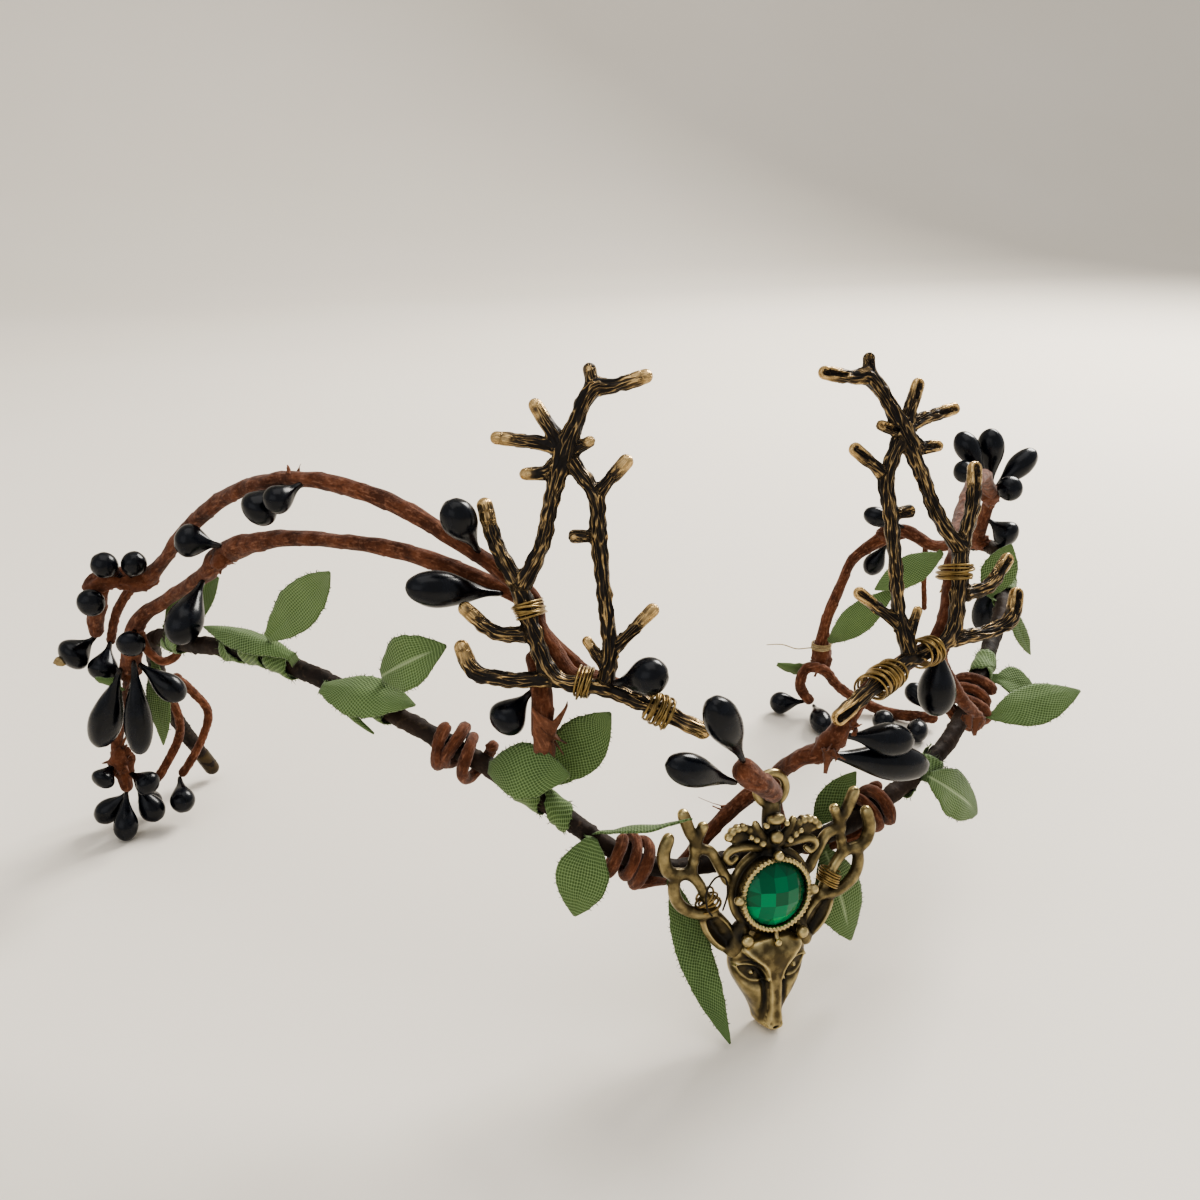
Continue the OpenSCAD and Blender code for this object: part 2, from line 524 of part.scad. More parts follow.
bail_at = [0, 39, 2.2];
bail_ring_r = 2.4;
module bail() {
  translate(bail_at) rotate_extrude($fn = 16) translate([bail_ring_r, 0]) circle(r = 0.7, $fn = 6);
}
module hang_pendant() {
  // The nose rests on the table
  drop = nose_r - nose_r * cos(pendant_lean) - head_depth * sin(pendant_lean);
  translate([0, pendant_y, drop]) rotate([90 - pendant_lean, 0, 0]) rotate([0, 0, -pendant_roll])
    children();
}
module deer_pendant() {
  color(brass) hang_pendant() {
    deer_head();
    small_antler(-1);
    small_antler(1);
    crown_scrolls();
    bezel();
    bail();
  }
}
// Wire round the foot of a small antler
module pendant_wrap(s) {
  ring = rod_r + wire_r + 0.1;
  path = coil_path([s * 10.7, 23.1, 1.8], [s * 2.2, 4.6, 0], [s * ring, 0, 0], [0, 0, ring],
    3, wire_rise, wire_r, 10);
  color(bright_wire) hang_pendant() tube(path, 5);
}
// Round stone with a square-faceted dome, a flat table and a pointed back
module stone() {
  r = stone_d / 2;
  dome = 2.4;
  sphere_r = (r * r + dome * dome) / (2 * dome);
  steps = 3;
  function dome_z(x, y) = sqrt(sphere_r * sphere_r - x * x - y * y) - sphere_r + dome;
  grid = [
    for (i = [-steps:steps]) for (j = [-steps:steps])
      let (x = i * r / (steps + 0.3), y = j * r / (steps + 0.3))
        if (norm([x, y]) < r * 0.93) [x, y, dome_z(x, y)]
  ];
  rim = [for (k = [0:23]) [r * cos(k * 15), r * sin(k * 15), 0.1]];
  back = [for (k = [0:7]) [0.5 * r * cos(k * 45), 0.5 * r * sin(k * 45), -0.8]];
  low_rim = [for (p = rim) [p.x, p.y, -0.3]];
  all_points = concat(grid, rim, low_rim, back);
  color(stone_green) hang_pendant() translate([stone_at.x, stone_at.y, stone_at.z])
    hull() polyhedron(all_points, [[for (i = [0:len(all_points) - 1]) i]]);
}

BERRY_FRONT_HIGH = [[STEM_CENTRE, -1, [-13.5, -81, 60], 5.2]];
BERRY_FRONT_LOW = [[STEM_CENTRE, 0.3, [-19, -79, 50.5], 4.8]];
BERRY_LEFT_BOUND = [[LEFT_ROD, 1.8, [-17.5, -74.5, 62], 5.4]];
BERRY_LEFT_LOWER = [[STEM_STUB_LEFT, 1.2, [-38, -60, 50], 5.6]];
BERRY_LEFT_TWIG = [[STEM_LEFT_HIGH, 5.6, [-42.4, -54.6, 83.4], 5.2]];
BERRY_LEFT_FORK = [[STEM_LEFT_LOW, 5.4, [-49, -54, 71.5], 5.4]];
BERRIES_LEFT_ARCH = [
  [STEM_LEFT_HIGH, 8.2, [-68, -27, 76], 6], [STEM_LEFT_HIGH, 7.9, [-65.5, -32, 79], 4.5],
  [STEM_LEFT_LOW, 10, [-79, -13, 70], 5.6], [STEM_LEFT_LOW, 11, [-81, -17.4, 53.4], 6.2]
];
BERRIES_LEFT_END = [
  [STEM_LEFT_HIGH, 12.8, [-92.5, 3, 63], 4.6], [STRAND_LEFT_OUTER, 0.2, [-95, 3, 54.5], 5],
  [STEM_LEFT_HIGH, 12, [-86, 2, 63], 4.4], [STEM_LEFT_LOW, 13, [-89, -1, 47], 5],
  [STRAND_LEFT_OUTER, 3, [-101.5, 15, 40], 6.4], [STRAND_LEFT_INNER, 1.9, [-95.5, 12.5, 36.5], 5.6],
  [STEM_LEFT_LOW, 13.7, [-81, 5.5, 33.5], 5], [STEM_LEFT_LOW, 13.8, [-97.5, 13, 23], 6.2],
  [STEM_LEFT_LOW, 13.6, [-90, 6.5, 23], 5.2], [STEM_LEFT_DROP, 2.9, [-99, 16, 13], 4.6],
  [STEM_LEFT_DROP, 3.3, [-88.5, 15, 11], 5], [LOOP_LEFT_OUTER, 5, [-84, 17, 4], 5],
  [STEM_LEFT_DROP, 5, [-95.6, 15.4, 0.3], 4.8], [STEM_LEFT_DROP, 5, [-100.5, 22, 2.4], 4.8],
  [STEM_LEFT_DROP, 3.9, [-89, 19, 1.8], 5], [LOOP_LEFT_INNER, 5, [-90.5, 25.2, 1.8], 4.8]
];
BERRIES_RIGHT_FRONT = [
  [STEM_RIGHT, 6.7, [23.5, -75, 44.6], 5.2], [STEM_RIGHT, 5.9, [28.2, -73, 38.6], 5.8],
  [STEM_RIGHT, 10.3, [31, -70, 45.8], 6]
];
BERRIES_RIGHT_TOP = [
  [STEM_RIGHT, 18.1, [74, -11, 76], 5], [STEM_RIGHT, 19, [81, -12, 76.5], 5.6],
  [STEM_RIGHT, 20, [93, -12, 71], 5], [STEM_RIGHT, 18.8, [81.5, -21, 66.5], 5.2],
  [STEM_RIGHT, 17.6, [72.5, -14, 69], 4.6],
  [STEM_RIGHT_RISE, 1, [89, -14, 52], 6], [STEM_RIGHT, 17.3, [70, -20, 60], 4.6]
];
BERRIES_RIGHT_END = [
  [STEM_RIGHT_REAR, 3.1, [73, 20, 51], 4.6], [STEM_RIGHT_REAR, 4.1, [78, 24, 34], 5],
  [STEM_RIGHT_FOOT, 0.4, [53.5, 25, 2.7], 5.4], [STEM_RIGHT_FOOT, -1, [59, 8, 2.7], 5.2],
  [STEM_RIGHT_FOOT, 5.9, [72.5, 4.5, 3.1], 5.2], [STEM_RIGHT_FOOT, 6.6, [77, -3, 2.7], 5],
  [STEM_RIGHT_FOOT, 6.7, [85, 13, 8], 5], [VINE, 1.75, [80, -17, 34], 5.6]
];

vine_wire();
leaf_windings();
paper_stem(STEM_LEFT_HIGH);  // stem_left_high
paper_stem(STEM_LEFT_LOW);  // stem_left_low
stem_centre();
stem_right();
paper_stem(STEM_STUB_LEFT);  // stem_stub_left
coil_left();
coil_right();
paper_stem(STEM_LEFT_DROP);  // stem_left_drop
paper_stem(STRAND_LEFT_OUTER);  // strand_left_outer
paper_stem(STRAND_LEFT_INNER);  // strand_left_inner
paper_stem(LOOP_LEFT_OUTER);  // loop_left_outer
paper_stem(LOOP_LEFT_INNER);  // loop_left_inner
paper_stem(STEM_RIGHT_RISE);  // stem_right_rise
paper_stem(STEM_RIGHT_REAR);  // stem_right_rear
paper_stem(STEM_RIGHT_FOOT);  // stem_right_foot
deer_pendant();
stone();
antler_left();
antler_right();
wire_wrap(left_point([-25, 14.9, 0]), left_point([-25.8, 17.2, 0]), back_left(0.1, 0, -3.2), 3);  // wire_left_top
wire_wrap(left_point([-15.8, 5.7, 0]), left_point([-18.4, 6.1, 0]), back_left(0, 0.15, -2.85), 3);  // wire_left_middle
wire_wrap(left_point([-4.6, 1.9, -0.3]), left_point([-8, 3.4, -0.3]), back_left(0, 0, -0.1), 5);  // wire_left_base
wire_wrap(right_point([-25, 14.9, 0]), right_point([-25.8, 17.2, 0]), back_right(-0.2, -0.6, 2.9), 3);  // wire_right_top
wire_wrap(right_point([-16, 5.7, 0]), right_point([-18.6, 6.1, 0]), back_right(-0.4, -0.8, 2.75), 3);  // wire_right_middle
wire_wrap(right_point([-6.4, 2.7, 0]), right_point([-11.6, 4.6, 0]), back_right(-0.4, -0.8, 2.75), 6);  // wire_right_base
pendant_wrap(-1);  // wire_pendant_left
pendant_wrap(1);  // wire_pendant_right
leaf(LEAVES[0]);  // leaf_01
leaf(LEAVES[1]);  // leaf_02
leaf(LEAVES[2]);  // leaf_03
leaf(LEAVES[3]);  // leaf_04
leaf(LEAVES[4]);  // leaf_05
leaf(LEAVES[5]);  // leaf_06
leaf(LEAVES[6]);  // leaf_07
leaf(LEAVES[7]);  // leaf_08
leaf(LEAVES[8]);  // leaf_09
leaf(LEAVES[9]);  // leaf_10
leaf(LEAVES[10]);  // leaf_11
leaf(LEAVES[11]);  // leaf_12
leaf(LEAVES[12]);  // leaf_13
leaf(LEAVES[13]);  // leaf_14
leaf(LEAVES[14]);  // leaf_15
leaf(LEAVES[15]);  // leaf_16
leaf(LEAVES[16]);  // leaf_17
leaf(LEAVES[17]);  // leaf_18
leaf(LEAVES[18]);  // leaf_19
leaf(LEAVES[19]);  // leaf_20
berries(BERRY_FRONT_HIGH);  // berry_front_high
berries(BERRY_FRONT_LOW);  // berry_front_low
berries(BERRY_LEFT_BOUND);  // berry_left_bound
berries(BERRY_LEFT_LOWER);  // berry_left_lower
berries(BERRY_LEFT_TWIG);  // berry_left_twig
berries(BERRY_LEFT_FORK);  // berry_left_fork
berries(BERRIES_LEFT_ARCH);  // berries_left_arch
berries(BERRIES_LEFT_END);  // berries_left_end
berries(BERRIES_RIGHT_FRONT);  // berries_right_front
berries(BERRIES_RIGHT_TOP);  // berries_right_top
berries(BERRIES_RIGHT_END);  // berries_right_end
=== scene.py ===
# Woodland tiara: the looks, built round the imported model. Lengths are in millimetres until a mesh is made.
import math

import bmesh
import bpy
import numpy as np
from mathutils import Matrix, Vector


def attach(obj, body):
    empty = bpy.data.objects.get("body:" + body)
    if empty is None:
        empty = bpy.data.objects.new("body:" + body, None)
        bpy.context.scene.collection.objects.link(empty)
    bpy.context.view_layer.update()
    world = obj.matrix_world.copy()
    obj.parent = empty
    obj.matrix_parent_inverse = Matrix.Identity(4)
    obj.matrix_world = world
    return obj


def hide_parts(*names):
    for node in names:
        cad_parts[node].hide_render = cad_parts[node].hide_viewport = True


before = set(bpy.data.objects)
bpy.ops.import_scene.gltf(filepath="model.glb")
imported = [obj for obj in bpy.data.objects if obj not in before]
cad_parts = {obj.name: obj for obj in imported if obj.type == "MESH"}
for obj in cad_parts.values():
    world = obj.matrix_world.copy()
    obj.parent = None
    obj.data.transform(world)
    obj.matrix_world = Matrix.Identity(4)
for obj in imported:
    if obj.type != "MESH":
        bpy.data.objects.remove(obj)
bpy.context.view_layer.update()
MM = 0.001

# Measures that the construction uses too: radii of wires and paper, and how the pendant stands and hangs
vine_r = 1.5
stem_r = 1.3
strand_r = 0.9
coil_r = 1.1
wire_r = 0.35
gap = 0.2
neck_r = 0.5
bezel_d = 13
stone_d = 10
pendant_lean = 10
pendant_roll = 3
pendant_y = -75
nose_high = 1.9
nose_out = 3.2


# Camera, where the photograph was taken from
def make_camera():
    lens = bpy.data.cameras.new("camera")
    lens.sensor_width = 36
    lens.lens = 36.09
    lens.clip_start = 0.01
    lens.clip_end = 20
    camera = bpy.data.objects.new("camera", lens)
    bpy.context.scene.collection.objects.link(camera)
    camera.location = Vector((-78.1, -214.3, 128)) * MM
    look = Vector((0.3214, 0.883, -0.342))
    camera.rotation_mode = "QUATERNION"
    camera.rotation_quaternion = look.to_track_quat("-Z", "Y")
    bpy.context.scene.camera = camera


make_camera()


# Small vector helpers, for one vector or for rows of them
def unit(v):
    v = np.asarray(v, float)
    return v / np.maximum(np.linalg.norm(v, axis=-1, keepdims=True), 1e-9)


def across(v, along):
    v = np.asarray(v, float)
    return unit(v - (v @ along) * along)


# A side of a direction: up, unless it runs nearly upright itself
def first_side(along):
    return across([0, 0, 1] if abs(along[2]) < 0.8 else [1, 0, 0], along)


# The pair x, y turned by an angle
def turned(x, y, angle):
    c, s = np.cos(angle), np.sin(angle)
    return x * c - y * s, x * s + y * c


def ease(t):
    t = np.clip(t, 0, 1)
    return t * t * (3 - 2 * t)


# Smooth noise in -1 to 1 at the points p, with details of the given size; mixers scatter the cells' values
mixers = (73856093, 19349663, 83492791)


def noise(p, size, seed=0):
    q = np.asarray(p, float) / size + 31.7 * seed
    cell = np.floor(q).astype(np.int64)
    f = ease(q - cell)
    total = np.zeros(q.shape[:-1])
    for corner in range(8):
        d = np.array([corner & 1, corner >> 1 & 1, corner >> 2 & 1])
        x, y, z = [((cell + d)[..., k] & 0xFFFFF) * mixers[k] for k in range(3)]
        h = (x ^ y ^ z) & 0xFFFFFFF
        h = (h * 2654435761 >> 7) & 0xFFFFF
        h = (h ^ h >> 9) * 40503 & 0xFFFFF
        weight = np.prod(np.where(d, f, 1 - f), axis=-1)
        total += weight * (h / 0x7FFFF - 1)
    return total


# One mesh piece: points in millimetres, faces, its look and the CAD nodes it stands for
def piece(name, points, faces, look, nodes=(), uv=None, marks=None, smooth=True):
    mesh = bpy.data.meshes.new(name)
    points = np.asarray(points, float) * MM
    mesh.from_pydata(points.tolist(), [], faces)
    loops = np.zeros(len(mesh.loops), np.int32)
    mesh.loops.foreach_get("vertex_index", loops)
    if uv is not None:
        layer = mesh.uv_layers.new(name="UVMap")
        layer.data.foreach_set("uv", np.asarray(uv, np.float32)[loops].ravel())
    for mark, values in (marks or {}).items():
        single = np.ndim(values) == 1
        attribute = mesh.attributes.new(mark, "FLOAT" if single else "FLOAT_VECTOR", "POINT")
        attribute.data.foreach_set("value" if single else "vector", np.asarray(values, np.float32).ravel())
    mesh.polygons.foreach_set("use_smooth", [smooth] * len(mesh.polygons))
    mesh.materials.append(look)
    mesh.validate()
    mesh.update()
    thing = bpy.data.objects.new(name, mesh)
    bpy.context.scene.collection.objects.link(thing)
    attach(thing, "root")
    if nodes:
        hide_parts(*nodes)


# Several meshes as one: each part has points, faces, sizes for a weave, and how worn or pale it is; on the
# stone this mark is painted light instead
class Heap:
    def __init__(self):
        self.points, self.faces, self.uv, self.marks, self.count = [], [], [], [], 0

    def add(self, points, faces, uv=None, mark=0.0):
        points = np.asarray(points, float)
        self.faces += [[i + self.count for i in f] for f in faces]
        self.points.append(points)
        self.uv.append(np.zeros((len(points), 2)) if uv is None else np.asarray(uv, float))
        self.marks.append(np.broadcast_to(np.asarray(mark, float), (len(points),)))
        self.count += len(points)

    def make(self, name, look, nodes=(), smooth=True):
        piece(name, np.vstack(self.points), self.faces, look, nodes, np.vstack(self.uv),
              {"mark": np.concatenate(self.marks)}, smooth)


# One piece of several parts, each with what Heap.add takes
def joined(name, look, parts, nodes=()):
    heap = Heap()
    for part in parts:
        heap.add(*part)
    heap.make(name, look, nodes)


# Row of the smooth curve through the rows, at the share t of the way from row i to the next
def between(rows, i, t):
    last = len(rows) - 1
    a, b, c, d = rows[max(i - 1, 0)], rows[i], rows[i + 1], rows[min(i + 2, last)]
    bend = (2 * a - 5 * b + 4 * c - d) * t ** 2 + (3 * b - a - 3 * c + d) * t ** 3
    return 0.5 * (2 * b + (c - a) * t + bend)


# Smooth curve through the rows, steps pieces between two rows
def smooth(rows, steps):
    rows = np.asarray(rows, float)
    t = (np.arange(steps) / steps)[:, None]
    return np.vstack([between(rows, i, t) for i in range(len(rows) - 1)] + [rows[-1:]])


# Row of a route at a place between its rows, and its direction there
def on(route, at):
    rows = np.asarray(route, float)
    i = min(int(at), len(rows) - 2)
    return between(rows, i, at - i)


def heading_at(route, at):
    last = len(route) - 1
    return unit(on(route, min(at + 0.1, last))[:3] - on(route, max(at - 0.1, 0))[:3])


# The path again, with rows the same distance apart
def even(path, step):
    path = np.asarray(path, float)
    gone = np.concatenate([[0], np.cumsum(np.linalg.norm(np.diff(path[:, :3], axis=0), axis=1))])
    n = max(int(round(gone[-1] / step)), 2)
    at = np.linspace(0, gone[-1], n + 1)
    return np.stack([np.interp(at, gone, path[:, k]) for k in range(path.shape[1])], axis=1), at


# Direction and two sides at each row of a path, turned as little as possible along it
def turning(path):
    p = path[:, :3]
    along = unit(np.gradient(p, axis=0))
    side = np.zeros_like(along)
    s = first_side(along[0])
    for i in range(len(p)):
        s = across(s, along[i])
        side[i] = s
    return along, side, np.cross(along, side)


# Round tube: swell(angle, length along) scales its radius, and its ends are rounded
def tube(path, sides, swell=None, step=0.5):
    path, at = even(path, step)
    along, u, v = turning(path)
    n = len(path)
    angle = np.arange(sides) * 2 * math.pi / sides
    a, s = np.meshgrid(angle, at)
    radius = path[:, 3][:, None] * (np.ones_like(a) if swell is None else swell(a, s))
    to_end = np.clip(np.minimum(at, at[-1] - at) / path[:, 3], 0, 1)
    round_end = np.sqrt(np.clip(1 - (1 - to_end) ** 2, 0.04, 1))
    radius = radius * round_end[:, None]
    out = np.cos(a)[..., None] * u[:, None] + np.sin(a)[..., None] * v[:, None]
    ring = path[:, None, :3] + radius[..., None] * out
    points = np.vstack([ring.reshape(-1, 3), path[:1, :3], path[-1:, :3]])
    i, k = np.meshgrid(np.arange(n - 1), np.arange(sides), indexing="ij")
    nxt = (k + 1) % sides
    faces = np.stack([i * sides + nxt, (i + 1) * sides + nxt, (i + 1) * sides + k, i * sides + k], -1)
    faces = faces.reshape(-1, 4).tolist()
    low, high = n * sides, n * sides + 1
    faces += [[(j + 1) % sides, j, low] for j in range(sides)]
    faces += [[(n - 1) * sides + j, (n - 1) * sides + (j + 1) % sides, high] for j in range(sides)]
    uv = np.stack([a.ravel() * path[:, 3].mean(), s.ravel()], 1)
    uv = np.vstack([uv, [[0, 0], [0, at[-1]]]])
    return points, faces, uv


coil_steps = 40


# Path of a coil round a straight stretch, with coil_steps rows in a turn
def coil_path(middle, along, half_a, half_b, turns, rise, r):
    i = np.arange(int(turns * coil_steps) + 1)
    a = 2 * math.pi * i / coil_steps
    p = (np.asarray(middle, float) + np.outer(i / coil_steps - turns / 2, unit(along)) * rise
         + np.outer(np.cos(a), half_a) + np.outer(np.sin(a), half_b))
    return np.column_stack([p, np.full(len(p), r)])


coil_ring_r = vine_r + gap + coil_r + 0.2


# Coil of paper round the vine: place on it, way along it, turns and where it starts round it
def ring_coil(at, way, turns, start):
    w = way * heading_at(VINE, at)
    top = first_side(w)
    side = np.cross(w, top)
    b, a = turned(side, top, math.radians(start))
    middle = on(VINE, at)[:3]
    return coil_path(middle, w, coil_ring_r * a, coil_ring_r * b, turns, 2 * coil_r + 0.1, coil_r)


# Where the two castings stand: base tip, turn about the vertical, lean back, roll
LEFT_BASE = [-12, -75, 52.5]
LEFT_TURN = [-26, 16, 0]
RIGHT_BASE = [9, -77, 52]
RIGHT_TURN = [1, 20, 6]


# The same move for points of the casting's plane, side is -1 for the casting turned over
def stand_points(base, turn, side, p):
    p = np.atleast_2d(np.asarray(p, float))
    t, lean, roll = [math.radians(x) for x in turn]
    x, y = turned(side * p[:, 0], p[:, 1], roll)
    forward, z = turned(side * p[:, 2], y, lean)
    return np.array(base) + np.stack([*turned(x, -forward, t), z], 1)


def left_point(p):
    return stand_points(LEFT_BASE, LEFT_TURN, 1, p)[0]


def right_point(p):
    return stand_points(RIGHT_BASE, RIGHT_TURN, -1, p)[0]


def behind_left(x, y, back=2.85):
    return [*left_point([x, y, -back]), stem_r]


def behind_right(x, y):
    return [*right_point([x - 0.4, y - 0.8, 2.75]), stem_r]


# Pendant's plane to the frame: across, up from the nose tip, out to the front
def hang(p):
    p = np.atleast_2d(np.asarray(p, float))
    lean = math.radians(pendant_lean)
    x, y = turned(p[:, 0], p[:, 1], math.radians(-pendant_roll))
    forward, z = turned(p[:, 2], y, lean)
    drop = nose_high - nose_high * math.cos(lean) - nose_out * math.sin(lean)
    return np.stack([x, pendant_y - forward, drop + z], 1)


# Rows of a route: a row that gives no radius has r
def route(r, rows):
    return [row if len(row) == 4 else [*row, r] for row in rows]


# Cast antler in its own plane, then the routes and rows of the pieces, as in the construction
ANTLER_BRANCHES = [
    # Root rod, from the bright base tip
    [[0, 0, 1.4], [-7, 3, 1.2], [-14, 5.4, 1.35], [-21, 6.5, 1.3], [-24.4, 12.8, 1.4], [-26.5, 19.2, 1.4]],
    # First beam, up to the apex and its bent tip
    [[-26.5, 19.2, 1.4], [-23.5, 25.5, 1.2], [-22.3, 32, 1.2], [-20.7, 38.3, 1.5], [-19.1, 43.4, 1.15],
     [-17, 47.6, 1.2], [-14, 48, 1.05], [-9.6, 49.4, 1.25]],
    # Stub of the apex
    [[-17, 47.6, 1.15], [-17.5, 50.3, 1.05]],
    # Second beam
    [[-14, 5.4, 1.35], [-13.4, 11, 1.2], [-14.5, 19, 1.1], [-15.6, 27, 1.2], [-16.2, 32.6, 1.2],
     [-20.7, 38.3, 1.3]],
    # Twigs
    [[-13.8, 8, 1.1], [-16.7, 12, 0.9]],
    [[-13.4, 10.5, 1.1], [-7.6, 16.8, 1.2]],
    [[-15.6, 27, 0.9], [-18.9, 26.8, 1.15]],
    [[-16.2, 32.6, 1.1], [-12, 37.5, 1.3]],
    [[-20.8, 39, 1.2], [-23.2, 42.4, 1], [-25, 45.1, 1.2]],
    [[-21, 39, 1.1], [-25, 39.9, 1], [-30.4, 40.4, 1.15]],
    [[-21.5, 37.4, 1.1], [-23.2, 35.7, 0.95], [-26.2, 35.4, 1]],
    [[-20.7, 38.3, 1.2], [-17.2, 40.2, 0.95]],
    [[-26.5, 19.2, 1.3], [-30, 25, 1.2], [-31.9, 30.8, 1.45]],
    [[-24.4, 12.8, 1.25], [-30, 12.8, 1.1], [-34.4, 16, 1.3]],
    [[-21, 6.5, 1.25], [-28, 6, 1.15], [-33, 7, 1.2], [-34.8, 10.4, 1.4]]
]
# Rod of the left casting as a route
LEFT_ROD = [[*left_point([p[0], p[1], 0]), p[2]] for p in ANTLER_BRANCHES[0]]
VINE = route(vine_r, [
    [88, 2, 47], [88, -8, 49], [83, -19, 48], [72, -33, 46],
    [59, -46, 42], [50, -54, 38], [40, -61, 34], [28, -65.8, 30.5],
    [18, -67.4, 27], [8, -67.4, 25], [-4, -67.4, 25], [-14, -67.6, 26],
    [-22, -66, 30], [-32, -61, 38], [-43, -52, 44.5], [-55, -40, 49.5],
    [-68, -26, 53], [-79, -12, 51], [-83.5, 1, 48], [-85.5, 10, 43.5],
    [-85.5, 19, 36], [-85, 27, 25.5], [-82, 33, 14], [-77, 37, 1.6]
])
STEM_LEFT_HIGH = route(stem_r, [
    behind_left(-10.3, 4), behind_left(-14.5, 5.5), behind_left(-18.9, 6.6), behind_left(-21.8, 10),
    behind_left(-24.5, 14), behind_left(-26.4, 18.8, 2.9), [-42, -47, 77], [-50, -39, 81],
    [-60, -28, 82], [-69, -17, 78], [-77, -5, 69], [-82, 3, 61],
    [-86, 8, 56.5, stem_r + 0.5], [-90.5, 8, 57.5]
])
STEM_LEFT_LOW = route(stem_r, [
    behind_left(-10.6, 3.6, 7), behind_left(-14.2, 5.2, 7), behind_left(-17.8, 6.4, 7),
    behind_left(-21.4, 9.4, 7.1), behind_left(-24.8, 13, 7.3), behind_left(-26.6, 16.8, 7.6),
    [-41, -46.5, 71.3], [-48, -40, 72.8], [-55, -33, 72.8],
    [-63, -25, 71.8], [-71, -15, 67.5, stem_r + 0.5],
    [-75, -9, 62, stem_r + 0.2], [-81.5, -0.5, 55.5, stem_r - 0.1], [-87.5, 5.5, 49.2, stem_r + 0.2],
    [-90, 11, 38, stem_r + 0.7]
])
STEM_CENTRE = route(stem_r, [
    [-7.5, -77.5, 47.5, stem_r + 0.4], [-3.5, -76.5, 43.5, stem_r + 0.4], [0.3, -74, 40, stem_r + 0.2],
    [1.9, -70.5, 38.2, stem_r - 0.1], [0.2, -67.2, 36], [-2.5, -66.2, 33],
    [-5, -65, 29.5], [-8.5, -64.4, 25.2, coil_r], [-12.5, -65, 22.4, coil_r]
])
STEM_RIGHT = route(stem_r, [
    [14.5, -66, 22.6, coil_r], [11, -64.6, 23.2, coil_r], [8, -64.2, 26.5],
    [5.8, -64.8, 32], [5.4, -66.6, 38], [6.2, -70.4, 42.4],
    [8.8, -73.4, 45.2, stem_r + 0.3],
    [12, -74, 49.6, stem_r + 0.2], behind_right(-7, 3), behind_right(-14, 5.4), behind_right(-19, 6.6),
    behind_right(-22.6, 9.6), behind_right(-24.4, 13.4), behind_right(-26.2, 18.4),
    [40, -59.6, 70.4], [47, -50, 71], [57, -39, 73],
    [68, -28, 71.5], [77, -18, 67], [82, -13, 63, stem_r + 0.3]
])
STEM_STUB_LEFT = route(stem_r, [
    behind_left(-25.2, 10, 2.95), [-31.2, -60.3, 56, stem_r + 0.2], [-31.6, -61.6, 51, stem_r + 0.3],
    [-31.7, -62, 48.2]
])
STEM_LEFT_DROP = route(strand_r, [
    [-90.2, 11.4, 37.6], [-92, 17, 29], [-94.5, 20, 21, strand_r + 0.2],
    [-94.5, 20, 15, stem_r + 0.4], [-94, 19.5, 9, stem_r]
])
STRAND_LEFT_OUTER = route(stem_r, [[-92.4, 9.4, 56.2], [-94.3, 13, 50, stem_r + 0.3], [-95.2, 17, 44]])
STRAND_LEFT_INNER = route(strand_r, [[-87.5, 10, 55.1], [-91, 14, 49], [-93, 17, 42]])
LOOP_LEFT_OUTER = route(strand_r, [
    [-82.7, 23.6, 31.2], [-79.5, 26, 26], [-77, 27, 20],
    [-80, 26, 13], [-84, 24.5, 8]
])
LOOP_LEFT_INNER = route(strand_r, [
    [-85.9, 20.2, 30], [-83.4, 23.3, 25.2], [-83, 24, 18],
    [-87, 23, 11], [-90, 22, 8]
])
STEM_RIGHT_RISE = route(stem_r, [[86, -5, 50], [85, -8, 56], [84, -10.5, 61]])
STEM_RIGHT_REAR = route(stem_r, [
    [88, 2.4, 47], [87.6, 6.5, 45.2], [86, 11, 44.2], [82, 16, 46.5, stem_r + 0.2],
    [79, 20, 44, stem_r + 0.4], [73, 23, 38.5], [70, 24, 30], [68, 25, 23],
    [67, 25, 16, stem_r + 0.4], [68, 25, 11, stem_r + 0.9]
])
STEM_RIGHT_FOOT = route(stem_r, [
    [63, 21, 3], [60, 22, 7.5], [61.5, 22, 12], [66.2, 21.6, 11],
    [70, 20, 6.5], [75, 17.5, 3], [80, 12, 1.5], [87, 3, 3]
])
LEAF_SHAPE = [[0, 0.2], [0.15, 0.62], [0.38, 1], [0.62, 0.92], [0.84, 0.5], [1, 0.05]]
